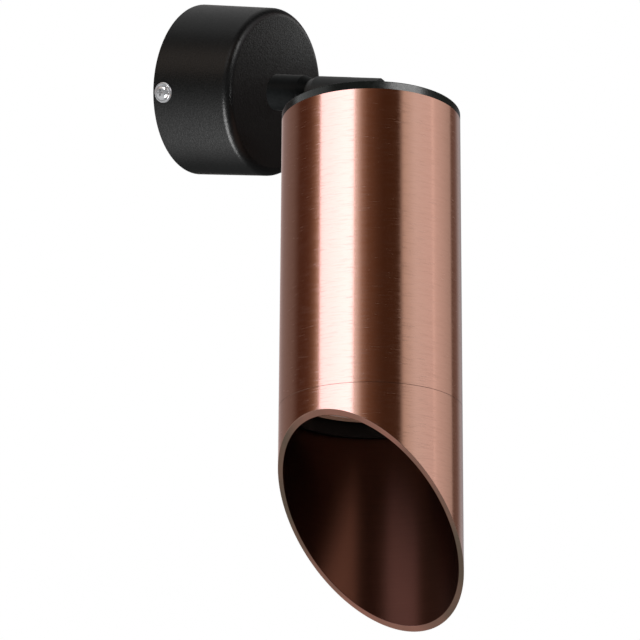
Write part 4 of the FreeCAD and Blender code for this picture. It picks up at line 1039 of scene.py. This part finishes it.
# %% White studio
white = step(sky, "ShaderNodeBackground", Color=(1, 1, 1, 1)).outputs["Background"]
strips = step(sky, "ShaderNodeBackground", Color=room_light).outputs["Background"]
ray = step(sky, "ShaderNodeLightPath").outputs
looked_at = maths(sky, "MAXIMUM", ray["Is Camera Ray"], ray["Is Transmission Ray"])
lit = step(sky, "ShaderNodeMixShader", _0=ray["Is Glossy Ray"], _1=white, _2=strips)
studio = step(sky, "ShaderNodeMixShader", _0=looked_at, _1=lit.outputs["Shader"], _2=white)
sky.links.new(studio.outputs["Shader"], sky.nodes["World Output"].inputs["Surface"])
print("studio", len(sky.nodes), "nodes")

# %% [markdown]
# ## Lamps for the copper and the mouth
#
# Soft boxes add what the even white can't give: the bright core of the window strip, the softer
# wall at the right, and the card that lights the inside of the mouth. Each lamp reaches only its
# own pieces through light linking, as a photographer shades a lamp with flags. A lamp's power of
# pi times its area gives a brightness of one, so its colour can carry the brightness.

# %% Lamps for the copper
UP = Vector((0, 0, 1))


def softbox(name, aim, toward, distance, size, upright, light, receivers):
    """A soft rectangular lamp that only its receivers see; light is its brightness."""
    lamp = bpy.data.lights.new(name, "AREA")
    lamp.shape = "RECTANGLE"
    lamp.size, lamp.size_y = size
    lamp.energy = math.pi * size[0] * size[1]
    lamp.color = light
    box = bpy.data.objects.new(name, lamp)
    bpy.context.scene.collection.objects.link(box)
    across = upright.cross(toward).normalized()
    box.matrix_world = Matrix.Translation(aim + distance * toward) @ Matrix(
        (across, toward.cross(across), toward)).transposed().to_4x4()
    box.visible_camera = False
    group = bpy.data.collections.new(name)
    for piece in receivers:
        group.objects.link(piece)
    box.light_linking.receiver_collection = group


copper_pieces = [body_tube, slant_shade]
softbox("window_strip", tube_middle, towards(-44.4, 0.315), 3.0, (2.36, 2.2), tube_axis,
        (1.4, 1.45, 1.95), copper_pieces + [lining])
softbox("mouth_box", tube_middle, towards(50, -0.20), 1.5, (1.85, 0.7), tube_axis,
        (3.3, 3.0, 2.9), [lining])
softbox("right_wall", tube_middle, towards(103, 0.315), 3.0, (1.95, 2.2), tube_axis,
        (0.33, 0.32, 0.32), copper_pieces)
print("lamps", len(bpy.data.lights))

# %% [markdown]
# ## Lamps for the black paint
#
# Black paint shows its shape only by what it mirrors. Two strips draw the bright arcs on the
# cap's rim, a card close to the rose gives its front a soft shine, a box high in front lights all
# upper edges, and low strips lift the rose's side and the sleeve's underside out of the dark.

# %% Lamps for the black paint
cap = [nodes["top_cap"]]
low_slope = facing(0.63, 0.204, -0.749)
softbox("cap_right_strip", pivot, towards(45, 0.42), 1.5, (1.12, 0.6), tube_axis,
        (50.0, 50.0, 50.0), cap)
softbox("cap_left_strip", pivot, towards(-84, 0.42), 1.5, (1.5, 0.6), tube_axis,
        (6.0, 6.2, 6.2), cap)
softbox("front_card", Vector((0.045, -0.031, 0.038)), facing(0.829, -0.547, -0.05), 0.075,
        (0.036, 0.050), UP, (1.3, 1.35, 1.35), [rose])
softbox("high_front_box", pivot, facing(-0.074, -0.808, 0.588), 1.5, (0.5, 0.5), UP,
        (4.0, 4.0, 4.0), [rose, nodes["arm_neck"]] + cap)
softbox("low_side_strip", Vector((0, -0.02, 0)), facing(-0.68, 0.06, -0.73), 1.0, (0.46, 1.2),
        low_slope, (7.6, 7.6, 7.6), [rose])
softbox("arm_fill", pivot, facing(-0.66, -0.37, -0.66), 1.0, (0.7, 0.9), low_slope,
        (22.0, 22.0, 22.0), [nodes["arm_sleeve"]])
print("lamps", len(bpy.data.lights))

# %% [markdown]
# ## Lamps for the chrome
#
# A chromed dome is a small round mirror. Two boxes, one low and one high, give it the two clear
# glints that make chrome look like chrome. At last the pieces on the wall and on the arm are kept
# out of mirror images, so that they don't darken the bands on the copper beside them.

# %% Lamps for the chrome
screw_spot = Vector((-0.031, -0.0043, 0.0))
softbox("screw_low_box", screw_spot, facing(-0.55, -0.55, -0.63), 0.5, (0.44, 0.30), UP,
        (3.2, 3.2, 3.2), [cover_screws])
softbox("screw_high_box", screw_spot, facing(-0.75, -0.05, 0.66), 0.5, (0.20, 0.26), UP,
        (3.4, 3.4, 3.4), [cover_screws])
riders = frame["record"]["behaviour"]["bodies"]
for piece in [nodes[name] for name in riders["root"] + riders["arm"]] + [rose, cover_screws]:
    piece.visible_glossy = False

# %% [markdown]
# ## Camera
#
# The camera stands off to the left, a little above the lamp, at a long focal length, which keeps
# the near and the far end of the tube alike. It has a slight roll. Its place and its directions
# were fitted to the outlines, so they are written as numbers.

# %% Camera
camera_data = bpy.data.cameras.new("camera")
camera_data.sensor_width = 36.0
camera_data.lens = 171.304
camera_data.clip_end = 200.0
camera = bpy.data.objects.new("camera", camera_data)
bpy.context.scene.collection.objects.link(camera)
view_back = facing(-0.82915, -0.547, 0.11533)
view_right = facing(0.55148, -0.83414, 0.00853)
view_up = view_back.cross(view_right)
camera.matrix_world = Matrix.Translation(camera_spot) @ Matrix(
    (view_right, view_up, view_back)).transposed().to_4x4()
bpy.context.scene.camera = camera
bpy.context.scene.view_settings.view_transform = "Standard"
print("camera", tuple(round(value, 3) for value in camera.location))
